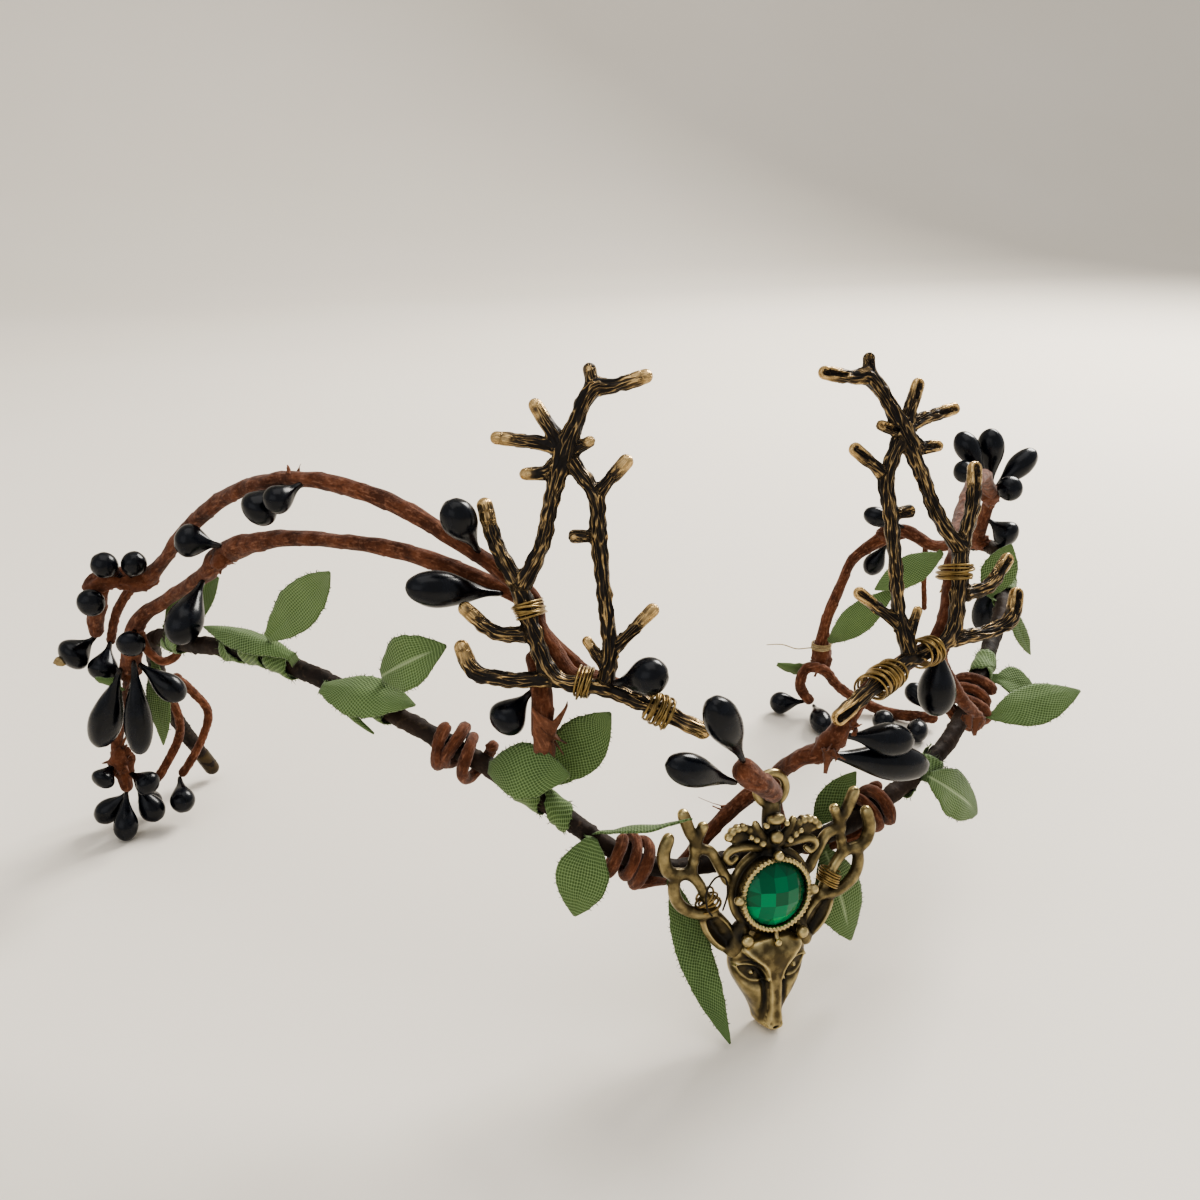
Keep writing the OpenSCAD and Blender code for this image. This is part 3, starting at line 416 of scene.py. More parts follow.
# Each leaf: base, tip, way its face looks, width, arch and cup
LEAVES = [
    [-67, -30, 57.2, -58, -42, 71, -0.7, -0.7, 0, 7, -1, 0.1],
    [-64, -34, 55.4, -76.2, -16.8, 55.4, -0.3, -0.3, 1, 4.5, 1, -0.6],
    [-60.4, -38.7, 51.3, -48.4, -52.8, 52.5, -0.4, -0.5, 0.8, 7, 0.6, -0.3],
    [-52, -46.5, 55.2, -44, -55, 62.2, -0.7, -0.6, 0.3, 8, 1, 0.1],
    [-39, -58.6, 43.3, -29.5, -68, 45, -0.4, -0.7, 0.5, 8, 1.5, -0.2],
    [-30.6, -60.4, 40.2, -22.8, -66.8, 53.4, -0.5, -0.8, 0.2, 8, -1, 0],
    [-25.8, -67.1, 33.3, -29, -68, 21, -0.6, -0.8, 0, 8, 1, 0],
    [-24.5, -66.3, 33.9, -15, -79, 41, 0.1, 0.3, 1, 4, 0, -0.4],
    [-13.2, -68.7, 23.8, -8.1, -80, 1, 0, -1, 0, 5.6, -2.2, 0.1],
    [13.4, -68.9, 23.9, 17.4, -72.2, 8.2, 0.2, -1, 0, 9, 0.5, -0.1],
    [12.6, -66.6, 27.8, 18.8, -67.6, 36.6, -0.5, -0.8, 0.2, 5, 0, 0],
    [51.8, -58.6, 36.9, 67, -62, 41, -0.2, -0.6, 0.8, 7.5, 0.5, -0.1],
    [33, -67.4, 33, 46, -64.5, 22, 0.3, -0.9, 0.4, 8, 1, -0.1],
    [69.9, -31.1, 47.9, 74, -31, 58, -0.3, -0.9, 0.1, 7, 0, 0],
    [75.5, -31, 44.1, 83, -30, 33, 0.3, -0.9, 0, 3.5, 0, 0],
    [68.2, 22.9, 18, 78, 12, 34, -0.5, -0.6, 0.2, 7, 2, -0.2],
    [85.8, 7, 43, 73, 13, 34, -0.5, -0.6, 0.4, 7, 1, -0.2],
    [-82.2, 2.2, 49.5, -72.5, 1, 58, -0.6, -0.7, 0.4, 8, 0, 0.2],
    [-85.5, 12.6, 38.7, -86, 14.5, 20.5, -0.6, -0.8, 0, 5, 0, 0],
    [57.4, -51.6, 40.4, 65.5, -52, 37.5, -0.2, -0.7, 0.7, 6, 0.5, 0]
]
# Stretches of the vine with a sleeve, as places on its route
WINDINGS = [[2, 3], [4, 4.5], [6, 7], [12.5, 13.5], [14.5, 15], [15.5, 16.5], [17, 17.5]]
# Each berry: route, place on it, round end, width across
BERRIES = {
    "berry_front_high": [[STEM_CENTRE, -1, [-13.5, -81, 60], 5.2]],
    "berry_front_low": [[STEM_CENTRE, 0.3, [-19, -79, 50.5], 4.8]],
    "berry_left_bound": [[LEFT_ROD, 1.8, [-17.5, -74.5, 62], 5.4]],
    "berry_left_lower": [[STEM_STUB_LEFT, 1.2, [-38, -60, 50], 5.6]],
    "berry_left_twig": [[STEM_LEFT_HIGH, 5.6, [-42.4, -54.6, 83.4], 5.2]],
    "berry_left_fork": [[STEM_LEFT_LOW, 5.4, [-49, -54, 71.5], 5.4]],
    "berries_left_arch": [
        [STEM_LEFT_HIGH, 8.2, [-68, -27, 76], 6], [STEM_LEFT_HIGH, 7.9, [-65.5, -32, 79], 4.5],
        [STEM_LEFT_LOW, 10, [-79, -13, 70], 5.6], [STEM_LEFT_LOW, 11, [-81, -17.4, 53.4], 6.2]
    ],
    "berries_left_end": [
        [STEM_LEFT_HIGH, 12.8, [-92.5, 3, 63], 4.6], [STRAND_LEFT_OUTER, 0.2, [-95, 3, 54.5], 5],
        [STEM_LEFT_HIGH, 12, [-86, 2, 63], 4.4], [STEM_LEFT_LOW, 13, [-89, -1, 47], 5],
        [STRAND_LEFT_OUTER, 3, [-101.5, 15, 40], 6.4], [STRAND_LEFT_INNER, 1.9, [-95.5, 12.5, 36.5], 5.6],
        [STEM_LEFT_LOW, 13.7, [-81, 5.5, 33.5], 5], [STEM_LEFT_LOW, 13.8, [-97.5, 13, 23], 6.2],
        [STEM_LEFT_LOW, 13.6, [-90, 6.5, 23], 5.2], [STEM_LEFT_DROP, 2.9, [-99, 16, 13], 4.6],
        [STEM_LEFT_DROP, 3.3, [-88.5, 15, 11], 5], [LOOP_LEFT_OUTER, 5, [-84, 17, 4], 5],
        [STEM_LEFT_DROP, 5, [-95.6, 15.4, 0.3], 4.8], [STEM_LEFT_DROP, 5, [-100.5, 22, 2.4], 4.8],
        [STEM_LEFT_DROP, 3.9, [-89, 19, 1.8], 5], [LOOP_LEFT_INNER, 5, [-90.5, 25.2, 1.8], 4.8]
    ],
    "berries_right_front": [
        [STEM_RIGHT, 6.7, [23.5, -75, 44.6], 5.2], [STEM_RIGHT, 5.9, [28.2, -73, 38.6], 5.8],
        [STEM_RIGHT, 10.3, [31, -70, 45.8], 6]
    ],
    "berries_right_top": [
        [STEM_RIGHT, 18.1, [74, -11, 76], 5], [STEM_RIGHT, 19, [81, -12, 76.5], 5.6],
        [STEM_RIGHT, 20, [93, -12, 71], 5], [STEM_RIGHT, 18.8, [81.5, -21, 66.5], 5.2],
        [STEM_RIGHT, 17.6, [72.5, -14, 69], 4.6],
        [STEM_RIGHT_RISE, 1, [89, -14, 52], 6], [STEM_RIGHT, 17.3, [70, -20, 60], 4.6]
    ],
    "berries_right_end": [
        [STEM_RIGHT_REAR, 3.1, [73, 20, 51], 4.6], [STEM_RIGHT_REAR, 4.1, [78, 24, 34], 5],
        [STEM_RIGHT_FOOT, 0.4, [53.5, 25, 2.7], 5.4], [STEM_RIGHT_FOOT, -1, [59, 8, 2.7], 5.2],
        [STEM_RIGHT_FOOT, 5.9, [72.5, 4.5, 3.1], 5.2], [STEM_RIGHT_FOOT, 6.6, [77, -3, 2.7], 5],
        [STEM_RIGHT_FOOT, 6.7, [85, 13, 8], 5], [VINE, 1.75, [80, -17, 34], 5.6]
    ]
}


# A material made of nodes: add makes a node and links or sets its inputs
class Look:
    def __init__(self, name):
        self.material = bpy.data.materials.new(name)
        self.material.use_nodes = True
        self.tree = self.material.node_tree
        self.surface = self.tree.nodes["Principled BSDF"]
        self.coord = self.tree.nodes.new("ShaderNodeTexCoord")
        self.object = self.coord.outputs["Object"]
        self.uv = self.coord.outputs["UV"]

    def put(self, node, inputs):
        for name, value in inputs.items():
            socket = node.inputs[name]
            if isinstance(value, bpy.types.NodeSocket):
                self.tree.links.new(value, socket)
            else:
                socket.default_value = value

    def add(self, kind, inputs, out=0, **settings):
        node = self.tree.nodes.new("ShaderNode" + kind)
        for name, value in settings.items():
            setattr(node, name, value)
        self.put(node, inputs)
        return node.outputs[out]

    def noise(self, scale, detail=3, rough=0.5, vector=None, distort=0.0):
        return self.add("TexNoise", {"Vector": vector or self.object, "Scale": scale, "Detail": detail,
                                     "Roughness": rough, "Distortion": distort})

    def ramp(self, value, low, high, a=0.0, b=1.0):
        return self.add("MapRange", {"Value": value, "From Min": low, "From Max": high,
                                     "To Min": a, "To Max": b})

    def mix(self, share, a, b):
        a, b = [hex_colour(c) if isinstance(c, str) else c for c in (a, b)]
        return self.add("Mix", {0: share, 6: a, 7: b}, 2, data_type="RGBA")

    # Colours laid over a first one, in rows of value, its low and high place, the share at each, and colour
    def layers(self, colour, *rows):
        for value, low, high, a, b, over in rows:
            colour = self.mix(self.ramp(value, low, high, a, b), colour, over)
        return colour

    def calc(self, kind, a, b):
        return self.add("Math", {0: a, 1: b}, operation=kind)

    def mark(self):
        return self.add("Attribute", {}, 2, attribute_name="mark")

    def stretch(self, scale, vector):
        return self.add("Mapping", {"Vector": vector, "Scale": scale})

    def bump(self, height, strength, distance):
        return self.add("Bump", {"Height": height, "Strength": strength, "Distance": distance})

    def finish(self, **inputs):
        self.put(self.surface, {k.replace("_", " "): v for k, v in inputs.items()})
        return self.material


# Colour of a screen in six hex digits, as light that adds up
def hex_colour(text):
    c = [int(text[i:i + 2], 16) / 255 for i in (0, 2, 4)]
    return (*[x / 12.92 if x < 0.04 else ((x + 0.055) / 1.055) ** 2.4 for x in c], 1)


def paper_look(name, dark, mid, light):
    m = Look(name)
    blotch = m.noise(260, 4, 0.6)
    fibre = m.noise(1500, 3, 0.7)
    creases = m.noise(0.0022, 4, vector=m.stretch((900, 260, 1), m.uv))
    # Dark lines in the creases are painted shade, and pale lines on the crease ridges are a painted
    # highlight; the same crease pattern also makes the bump
    colour = m.layers(dark, (blotch, 0.35, 0.68, 0, 1, mid), (fibre, 0.5, 0.75, 0, 0.4, light),
                      (creases, 0.36, 0.47, 0.75, 0, dark), (creases, 0.56, 0.68, 0, 0.5, light),
                      (m.mark(), 0.25, 0.9, 0, 0.6, light))
    height = m.calc("ADD", m.calc("MULTIPLY", fibre, 0.5), blotch)
    normal = m.bump(m.calc("ADD", height, creases), 0.6, 0.00035)
    return m.finish(Base_Color=colour, Roughness=0.88, Normal=normal, Sheen_Weight=0.15,
                    Specular_IOR_Level=0.25)


def tape_look():
    m = Look("vine_tape")
    grain = m.noise(900, 4, 0.7)
    patch = m.noise(140, 3, 0.5)
    colour = m.layers("17100c", (patch, 0.35, 0.65, 0, 1, "2f221a"), (grain, 0.55, 0.8, 0, 0.55, "64513f"))
    normal = m.bump(grain, 0.7, 0.00025)
    return m.finish(Base_Color=colour, Roughness=0.7, Normal=normal, Specular_IOR_Level=0.25)


thread_pitch = 0.42


# Woven cloth: pale threads across and along in the piece's own millimetres, darker cells between them
def cloth_look():
    m = Look("leaf_cloth")
    split = m.tree.nodes.new("ShaderNodeSeparateXYZ")
    wobble = m.noise(0.6, 1, vector=m.uv)
    m.tree.links.new(m.uv, split.inputs[0])
    waves = []
    for axis in (0, 1):
        place = m.calc("MULTIPLY", split.outputs[axis], math.pi / thread_pitch)
        place = m.calc("ADD", place, m.calc("MULTIPLY", wobble, 1.2))
        waves.append(m.calc("ABSOLUTE", m.calc("SINE", place, 0), 0))
    cell = m.calc("POWER", m.calc("MULTIPLY", waves[0], waves[1]), 0.55)
    patch = m.noise(130, 3, 0.55)
    tone = m.add("ObjectInfo", {}, "Random")
    colour = m.layers("40562a", (patch, 0.3, 0.7, 0, 1, "5a733f"), (tone, 0, 1, 0, 0.4, "6d854e"),
                      (cell, 0.1, 0.6, 0.75, 0, "8ea270"), (cell, 0.6, 1, 0, 0.6, "263518"),
                      (m.mark(), 0.3, 1, 0, 0.75, "aebd92"))
    normal = m.bump(m.calc("SUBTRACT", 1.0, cell), 0.5, 0.00016)
    return m.finish(Base_Color=colour, Roughness=0.7, Normal=normal, Sheen_Weight=0.2,
                    Sheen_Roughness=0.4, Specular_IOR_Level=0.3)


def berry_look():
    m = Look("berry_satin")
    streak = m.noise(500, 3, 0.6)
    dust = m.noise(2400, 2, 0.5)
    colour = m.layers("04060c", (streak, 0.4, 0.75, 0, 1, "0b101a"), (dust, 0.7, 0.8, 0, 0.2, "4c5464"),
                      (m.mark(), 0.6, 1, 0, 0.5, "2e241e"))
    return m.finish(Base_Color=colour, Roughness=m.ramp(streak, 0.3, 0.8, 0.2, 0.33),
                    Normal=m.bump(streak, 0.18, 0.0002), Specular_IOR_Level=0.29)


# Antique brass: dark in the hollows, bright where the mark is high; bark is how strong its fine lines are
def brass_look(name, dark, mid, bright, low, high, rough, bark=0.0):
    m = Look(name)
    worn = m.calc("ADD", m.mark(), m.ramp(m.noise(420, 4, 0.65), 0.3, 0.7, -0.1, 0.1))
    speck = height = m.noise(1800, 3, 0.6)
    if bark:
        grain = m.add("Attribute", {}, 1, attribute_name="grain")
        veins = m.noise(1.0, 1, 0.35, m.stretch((1.9, 1.9, 0.27), grain), 0.2)
        line = m.ramp(m.calc("ABSOLUTE", m.calc("SUBTRACT", veins, 0.5), 0), 0.0, 0.085, 1.0, 0.0)
        share = m.ramp(m.mark(), 0.45, 0.75, bark, bark * 0.3)
        worn = m.calc("ADD", worn, m.calc("MULTIPLY", m.calc("SUBTRACT", line, 0.3), share))
        ridges = m.calc("MULTIPLY", line, m.ramp(share, 0, bark))
        height = m.calc("ADD", m.calc("MULTIPLY", height, 0.3), ridges)
    half = (low + high) / 2
    colour = m.layers(dark, (worn, low, half, 0, 1, mid), (worn, half, high, 0, 1, bright))
    smoother = m.ramp(worn, low, high, rough + 0.2, rough)
    return m.finish(Base_Color=colour, Metallic=m.ramp(worn, low, high, 0.55, 1.0),
                    Roughness=m.calc("ADD", smoother, m.ramp(speck, 0, 1, -0.05, 0.05)),
                    Normal=m.bump(height, 0.7, 0.00018) if bark else m.bump(height, 0.12, 0.00012))


def gem_look():
    m = Look("green_stone")
    # The facet mark is painted light: painted shade where it is low, a painted highlight where it is high
    facet_light_painted = m.mark()
    colour = m.layers("002618", (facet_light_painted, 0.1, 0.5, 0, 1, "007049"), (facet_light_painted, 0.5, 0.85, 0, 1, "00d488"))
    return m.finish(Base_Color=colour, Roughness=0.05, Transmission_Weight=0.2, IOR=1.45,
                    Specular_IOR_Level=0.25)


PAPER = paper_look("rust_paper", "43210f", "70422b", "a27258")
TAPE = tape_look()
CLOTH = cloth_look()
BERRY = berry_look()
ANTLER = brass_look("antler_brass", "140d07", "524433", "c5a776", 0.06, 0.85, 0.25, bark=0.74)
CAST = brass_look("pendant_brass", "19150d", "52472f", "c4b282", 0.1, 0.95, 0.28)
WIRE = brass_look("binding_wire", "221a10", "5c4b2d", "c9ab70", 0.1, 0.9, 0.24)
GEM = gem_look()
STRAW = paper_look("straw", "8a7550", "b8a277", "dccba4")


# How far the tape, a paper strip and a crease of twisted paper go along in one turn
tape_pitch = 6.2
strip_pitch = 8.0
crease_pitch = 6.0


# Points of a rod for noise, at angle a and place z along it
def round_rod(a, r, z):
    return np.stack([r * np.cos(a), r * np.sin(a), z], -1)


# Twisted paper: creases wind round it, and it is a little out of round
def twisted(seed):
    def swell(a, s):
        coil = a + s * 2 * math.pi / crease_pitch
        crease = 1 - np.abs(noise(round_rod(coil, 1.9, s / 5), 0.9, seed)) * 2.4
        dents = noise(round_rod(a, 1.4, s / 1.6), 1.2, seed + 5)
        return 1 + (0.11 * crease + 0.07 * dents - 0.05)
    return swell


# Paper strip wound round a stem: slanting edges, long wrinkles and a slightly flat section
def wound(seed):
    def swell(a, s):
        wrap = (s / strip_pitch + a / (2 * math.pi) + 0.37 * seed) % 1.0
        wrinkle = 1 - 2.4 * np.abs(noise(round_rod(a, 2.4, s / 3.4), 0.9, seed))
        dents = noise(round_rod(a, 1.2, s / 2.0), 1.3, seed + 5)
        flat = np.cos(2 * (a + s * 0.1 + seed))
        return 0.96 + 0.05 * wrinkle + 0.09 * dents + 0.07 * flat + 0.12 * (1 - wrap) ** 5
    return swell


# Four-sided faces round a tube of n rings with m points each
def ring_faces(n, m):
    return [[i * m + k, i * m + (k + 1) % m, (i + 1) * m + (k + 1) % m, (i + 1) * m + k]
            for i in range(n - 1) for k in range(m)]


# Crumpled paper round a knot: a ball with creased dents, drawn out along a way
def crumple(at, along, length, r, seed):
    n, m = 15, 22
    u = np.linspace(0.04, 0.96, n) * math.pi
    a = np.arange(m) * 2 * math.pi / m
    along = unit(along)
    e = first_side(along)
    f = np.cross(along, e)
    ball = (np.cos(u)[:, None, None] * along + np.sin(u)[:, None, None]
            * (np.cos(a)[None, :, None] * e + np.sin(a)[None, :, None] * f)).reshape(-1, 3)
    folds = 1 - 2.6 * np.abs(noise(ball * 2.2, 1.0, seed)) + 0.5 * noise(ball * 5, 1.0, seed + 1)
    size = r * (1 + 0.24 * folds)
    points = at + ball * size[:, None] + (ball @ along)[:, None] * along * (length / 2)
    faces = ring_faces(n, m) + [list(range(m))[::-1], [(n - 1) * m + k for k in range(m)]]
    faces = [face[::-1] for face in faces]
    return points, faces, None, np.clip(0.25 * folds, 0, 1)


# Torn strips of paper that stand out at a knot
def shreds(at, out, count, length, seed, spread=0.9, wide=1.0):
    made = []
    rng = np.random.default_rng(seed)
    for _ in range(count):
        way = unit(out + rng.normal(0, spread, 3))
        start = at + rng.normal(0, 0.45, 3)
        side = unit(np.cross(way, rng.normal(0, 1, 3)))
        bend = rng.normal(0, 0.7, 3)
        size = length * rng.uniform(0.45, 1.1)
        width = wide * rng.uniform(0.4, 1.0)
        t = np.linspace(0, 1, 6)[:, None]
        spine = start + way * size * t + bend * size * 0.5 * t ** 2
        half = width * (1 - 0.75 * t) * (1 + rng.uniform(-0.25, 0.25, (6, 1)))
        thick = 0.07 * np.cross(way, side)
        rows = [spine - side * half, spine - thick + 0.1 * side, spine + side * half, spine + thick]
        points = np.stack(rows, 1).reshape(-1, 3)
        faces = ring_faces(6, 4) + [[3, 2, 1, 0], [20, 21, 22, 23]]
        points = points + noise(points, 0.8, seed)[:, None] * 0.25 * way
        made.append((points, faces, None, 0.5))
    return made


# Slow unevenness along a path in three directions, at the places t
def sway(t, seed, apart=5.0):
    return np.stack([noise(np.stack([t, apart * k + 0 * t, 0 * t], 1), 1.0, seed) for k in range(3)], 1)


# A coil pulled out of shape, fully so from the row first on
def loosen(path, seed, amount=0.75, first=0):
    t = np.arange(len(path)) / 15.0
    path = path.copy()
    share = ease((np.arange(len(path)) - first) / 14.0)
    path[:, :3] += (amount * share)[:, None] * sway(t, seed, 7.0)
    path[:, 3] *= 1 - share * (0.16 + 0.1 * sway(t, seed + 1)[:, 0])
    return path


# Wide flap of torn paper in front of the left stub, with a notch in its top
def torn_flap():
    u, v = np.meshgrid(np.linspace(1, 0, 11), np.linspace(0, 1, 11))
    right = np.interp(v, [0, 0.4, 1], [-28, -28.8, -31.2]) + 0.25 * np.sin(9 * v)
    top_edge = 54.3 - 2.2 * (1 - np.abs(2 * u - 1)) ** 0.7
    low_edge = 46.6 + 0.9 * np.abs(np.sin(5 * u))
    x = -33.4 + (right + 33.4) * u
    z = top_edge + (low_edge - top_edge) * v
    y = -64 + 1.1 * np.abs(2 * u - 1) ** 2 - 0.5 * v
    front = np.stack([x, y, z], -1)
    front[..., 1] += 0.45 * noise(front, 1.6, 52)
    flap = Heap()
    sheet(flap, front, front + [0, 0.16, 0], 5, 7)
    return flap.points[0], flap.faces, flap.uv[0], 0.45


# Rust paper: name, node, route or path, style of the paper, and what is torn or crumpled on it
def stems():
    centre = np.vstack([smooth(STEM_CENTRE, 12), ring_coil(11.75, 1, 2.5, 180)[2:]])
    right = np.vstack([ring_coil(7.5, 1, 2.5, 0), smooth(STEM_RIGHT, 12)[2:]])
    right[:110] = loosen(right[:110][::-1], 32, 0.7, 14)[::-1]
    tail = [[44, -61, 41, coil_r], [38, -61, 50, coil_r], [37, -62.5, 54, coil_r]]
    coil = np.vstack([loosen(ring_coil(5, 1, 3, 270), 37, 0.8), smooth(tail, 12)[2:]])
    rows = [
        ("stem_left_high", "stem_left_high", STEM_LEFT_HIGH, wound, [
            *shreds((-86, 8, 57), (-0.3, 0.2, 0.5), 7, 3, 21),
            crumple((-86.5, 7.5, 57), (-1, 0.2, 0), 3.4, 1.9, 41),
            *shreds((-60, -28, 83), (0.2, 0, 1), 3, 2.2, 20, 0.4)]),
        ("stem_left_low", "stem_left_low", STEM_LEFT_LOW, wound, [
            *shreds((-72.5, -13, 65.5), (0.2, -0.6, -0.6), 7, 3, 22),
            crumple((-71.5, -14.6, 66.8), (0.6, 0.6, 0.4), 2.5, 1.6, 42),
            *shreds((-90, 11, 38), (0, 0, -1), 7, 3.4, 23),
            crumple((-89.8, 10.6, 39), (-0.2, 0.4, -1), 3, 1.8, 43)]),
        ("stem_centre", "stem_centre", loosen(centre, 31, 0.7, 104), wound,
            shreds((-3, -66, 33), (-1, 0.4, 0.5), 3, 4, 24, 0.4, 0.4)),
        ("stem_right", "stem_right", right, wound, [
            *shreds((8.8, -75.2, 46), (0.2, -0.6, -0.5), 8, 2.6, 25, wide=1.3),
            *shreds((12, -75.4, 49), (0.8, -0.3, 0.1), 6, 2.4, 26),
            crumple((9.6, -73.8, 46.2), (0.6, -0.2, 0.8), 4, 1.7, 44),
            crumple((82.8, -12, 62.3), (0.5, 0.6, -0.5), 4.4, 1.9, 49)]),
        ("stub_left", "stem_stub_left", STEM_STUB_LEFT, wound, [
            *shreds((-31.6, -62, 51), (0.35, -0.2, -0.9), 5, 6, 27, 0.3, 2.4), torn_flap()]),
        ("coil_left", "coil_left", loosen(ring_coil(13.9, -1, 3, 0), 36, 0.9), twisted, []),
        ("coil_right", "coil_right", coil, twisted,
            shreds((44, -61.6, 40), (0, -0.3, -1), 3, 4, 39, 0.3, 2.2)),
        ("drop_left", "stem_left_drop", STEM_LEFT_DROP, wound, [
            *shreds((-94.5, 20, 16), (0.3, -0.6, 0.2), 12, 3.4, 28, wide=1.3),
            crumple((-94.3, 19.6, 15.5), (0.1, 0, 1), 3, 2.2, 45)]),
        ("strand_outer", "strand_left_outer", STRAND_LEFT_OUTER, wound, [
            crumple((-91.8, 8.8, 57.2), (1, -0.4, 0.4), 4.5, 1.9, 48)]),
        ("strand_inner", "strand_left_inner", STRAND_LEFT_INNER, twisted, []),
        ("loop_outer", "loop_left_outer", LOOP_LEFT_OUTER, twisted, []),
        ("loop_inner", "loop_left_inner", LOOP_LEFT_INNER, twisted, []),
        ("rise_right", "stem_right_rise", STEM_RIGHT_RISE, wound, [
            crumple((86.9, -4.6, 49.4), (0.2, 1, -0.3), 3.4, 1.9, 50)]),
        ("rear_right", "stem_right_rear", STEM_RIGHT_REAR, wound, [
            *shreds((67.5, 25, 12), (-0.2, -0.3, -0.6), 8, 2.8, 29),
            crumple((67.4, 25, 13), (0, 0, 1), 4, 2.2, 46),
            crumple((80, 18.6, 45.4), (-0.8, 0.5, 0), 3, 1.8, 47),
            crumple((88, 2.2, 47), (0, 1, -0.25), 5, 1.75, 51)]),
        ("foot_right", "stem_right_foot", STEM_RIGHT_FOOT, twisted, []),
    ]
    for seed, (name, node, path, style, extra) in enumerate(rows, 1):
        path = path if isinstance(path, np.ndarray) else smooth(path, 12)
        joined("paper_" + name, PAPER, [tube(path, 18, style(seed), 0.4), *extra], [node])


# Small things that the solids leave out: a loop, a hanging strand, a tied straw thread, scraps of cloth
def extras():
    loop = [[-86.6, 1.4, 49.4, 0.75], [-86.2, 1.2, 46, 0.8], [-83.9, 0.8, 43.4, 0.8],
            [-81.2, 0.6, 44.4, 0.75], [-80, 1, 47.6, 0.7]]
    strand = [[85.4, 12.2, 44.6, 0.7], [86.4, 13.5, 40, 0.7], [87.2, 14, 34, 0.65], [87.4, 13, 27, 0.6]]
    joined("paper_bare_strands", PAPER, [
        tube(smooth(loop, 10), 12, twisted(51), 0.35), tube(smooth(strand, 10), 12, twisted(52), 0.35)])
    thread = [[66.5, 22.8, 15.4, 0.16], [63, 22.6, 17, 0.15], [59, 23, 17.2, 0.14], [55, 23.2, 18.8, 0.13],
              [50.6, 23, 19.4, 0.1]]
    tie = coil_path([67, 25, 16.2], [0.06, 0, 1], [2.35, 0, 0], [0, 2.35, 0], 4, 0.42, 0.17)
    joined("straw_tie", STRAW, [tube(smooth(thread, 10), 6, None, 0.4), tube(tie, 6, None, 0.4)])
    scraps = (([-92, 9.4, 37], [-96, 9, 38.5], 2.2), ([-91.6, 9, 36], [-94.6, 9.4, 33.4], 1.8),
              ([63.5, 24.4, 10.5], [54.4, 24, 13.4], 4), ([-59, -39.6, 50.4], [-53.5, -44, 44.6], 1.6),
              ([81, -21, 46], [85.6, -22.5, 38.5], 2.4))
    heap = Heap()
    rng = np.random.default_rng(5)
    for at, tip, wide in scraps:
        t = np.linspace(0, 1, 9)[:, None]
        way = np.subtract(tip, at)
        spine = at + way * t + rng.normal(0, 0.3, 3) * 4 * t * (1 - t)
        side = unit(np.cross(way, [0, 1, 0.2]))
        half = wide / 2 * np.sqrt(np.clip(1.05 - t, 0, 1)) * (1 + rng.uniform(-0.12, 0.12, (9, 1)))
        top = np.stack([spine - side * half, spine + [0, -0.25, 0], spine + side * half], 1)
        sheet(heap, top + [0, 0.2, 0], top, wide, 8)
    heap.make("cloth_scraps", CLOTH)
    tip = crumple((-101.9, 15, 40.3), (-1, -0.3, 0.2), 0.8, 0.8, 61)
    joined("broken_berry_tip", STRAW, [tip])


# Taped wire, and its bare left end
def vine():
    def swell(a, s):
        wrap = (s / tape_pitch + a / (2 * math.pi)) % 1.0
        p = round_rod(a, 2.6, s)
        return 0.96 + 0.13 * (1 - wrap) ** 4 + 0.09 * noise(p, 0.9, 40) + 0.06 * noise(p, 0.45, 41)
    path = smooth(VINE, 10)
    joined("vine", TAPE, [tube(path, 20, swell, 0.42)], ["vine_wire"])
    bare = tube(path[-7:] * [1, 1, 1, 1.06], 16, None, 0.4)
    joined("vine_bare_end", WIRE, [(*bare, 0.22)])


# Ribbon wound round the vine between two places of its route, with frayed edges
def ribbon(heap, a, b, width, pitch, lift, seed):
    rng = np.random.default_rng(seed)
    path, at = even(smooth(VINE, 10)[int(a * 10):int(b * 10) + 1], 0.4)
    along, u, v = turning(path)
    length = at[-1]
    turns = max((length - width) / pitch, 1.1)
    steps = int(turns * 26)
    w = np.linspace(-0.5, 0.5, 9)
    top, under = [], []
    for i in range(steps + 1):
        share = i / steps
        taper = min(1, 5 * share + 0.3, 5 * (1 - share) + 0.3)
        place = width / 2 + (length - width) * share + w * width * taper
        place = place + np.where(np.abs(w) > 0.49, rng.uniform(-0.2, 0.2, 9), 0)
        angle = 2 * math.pi * turns * share + 2.4 * seed
        k = np.clip(place, 0, length)
        p, du, dv = [np.stack([np.interp(k, at, row[:, j]) for j in range(3)], 1) for row in (path, u, v)]
        crease = 0.12 * math.sin(angle * 2.7 + seed) + 0.1 * np.sin(w * 9 + angle)
        turn = angle + w * 0.7
        way = np.cos(turn)[:, None] * du + np.sin(turn)[:, None] * dv
        for rows, thick in ((under, 0), (top, 0.18)):
            rows.append(p + (vine_r + lift + crease + thick)[:, None] * way)
    top, under = np.array(top), np.array(under)
    sheet(heap, top[:, ::-1], under[:, ::-1], width, 2.2 * math.pi * turns * vine_r)
    count = steps * 2
    pick = rng.integers(1, steps, count)
    edge = rng.integers(0, 2, count) * 8
    outward = unit(top[pick, edge] - under[pick, edge])
    sideways = np.where(edge[:, None] == 0, -1, 1) * unit(top[pick, 8] - top[pick, 0])
    threads(heap, top[pick, edge], sideways + 0.7 * outward + rng.normal(0, 0.4, (count, 3)),
            rng.uniform(0.25, 0.9, count), rng)


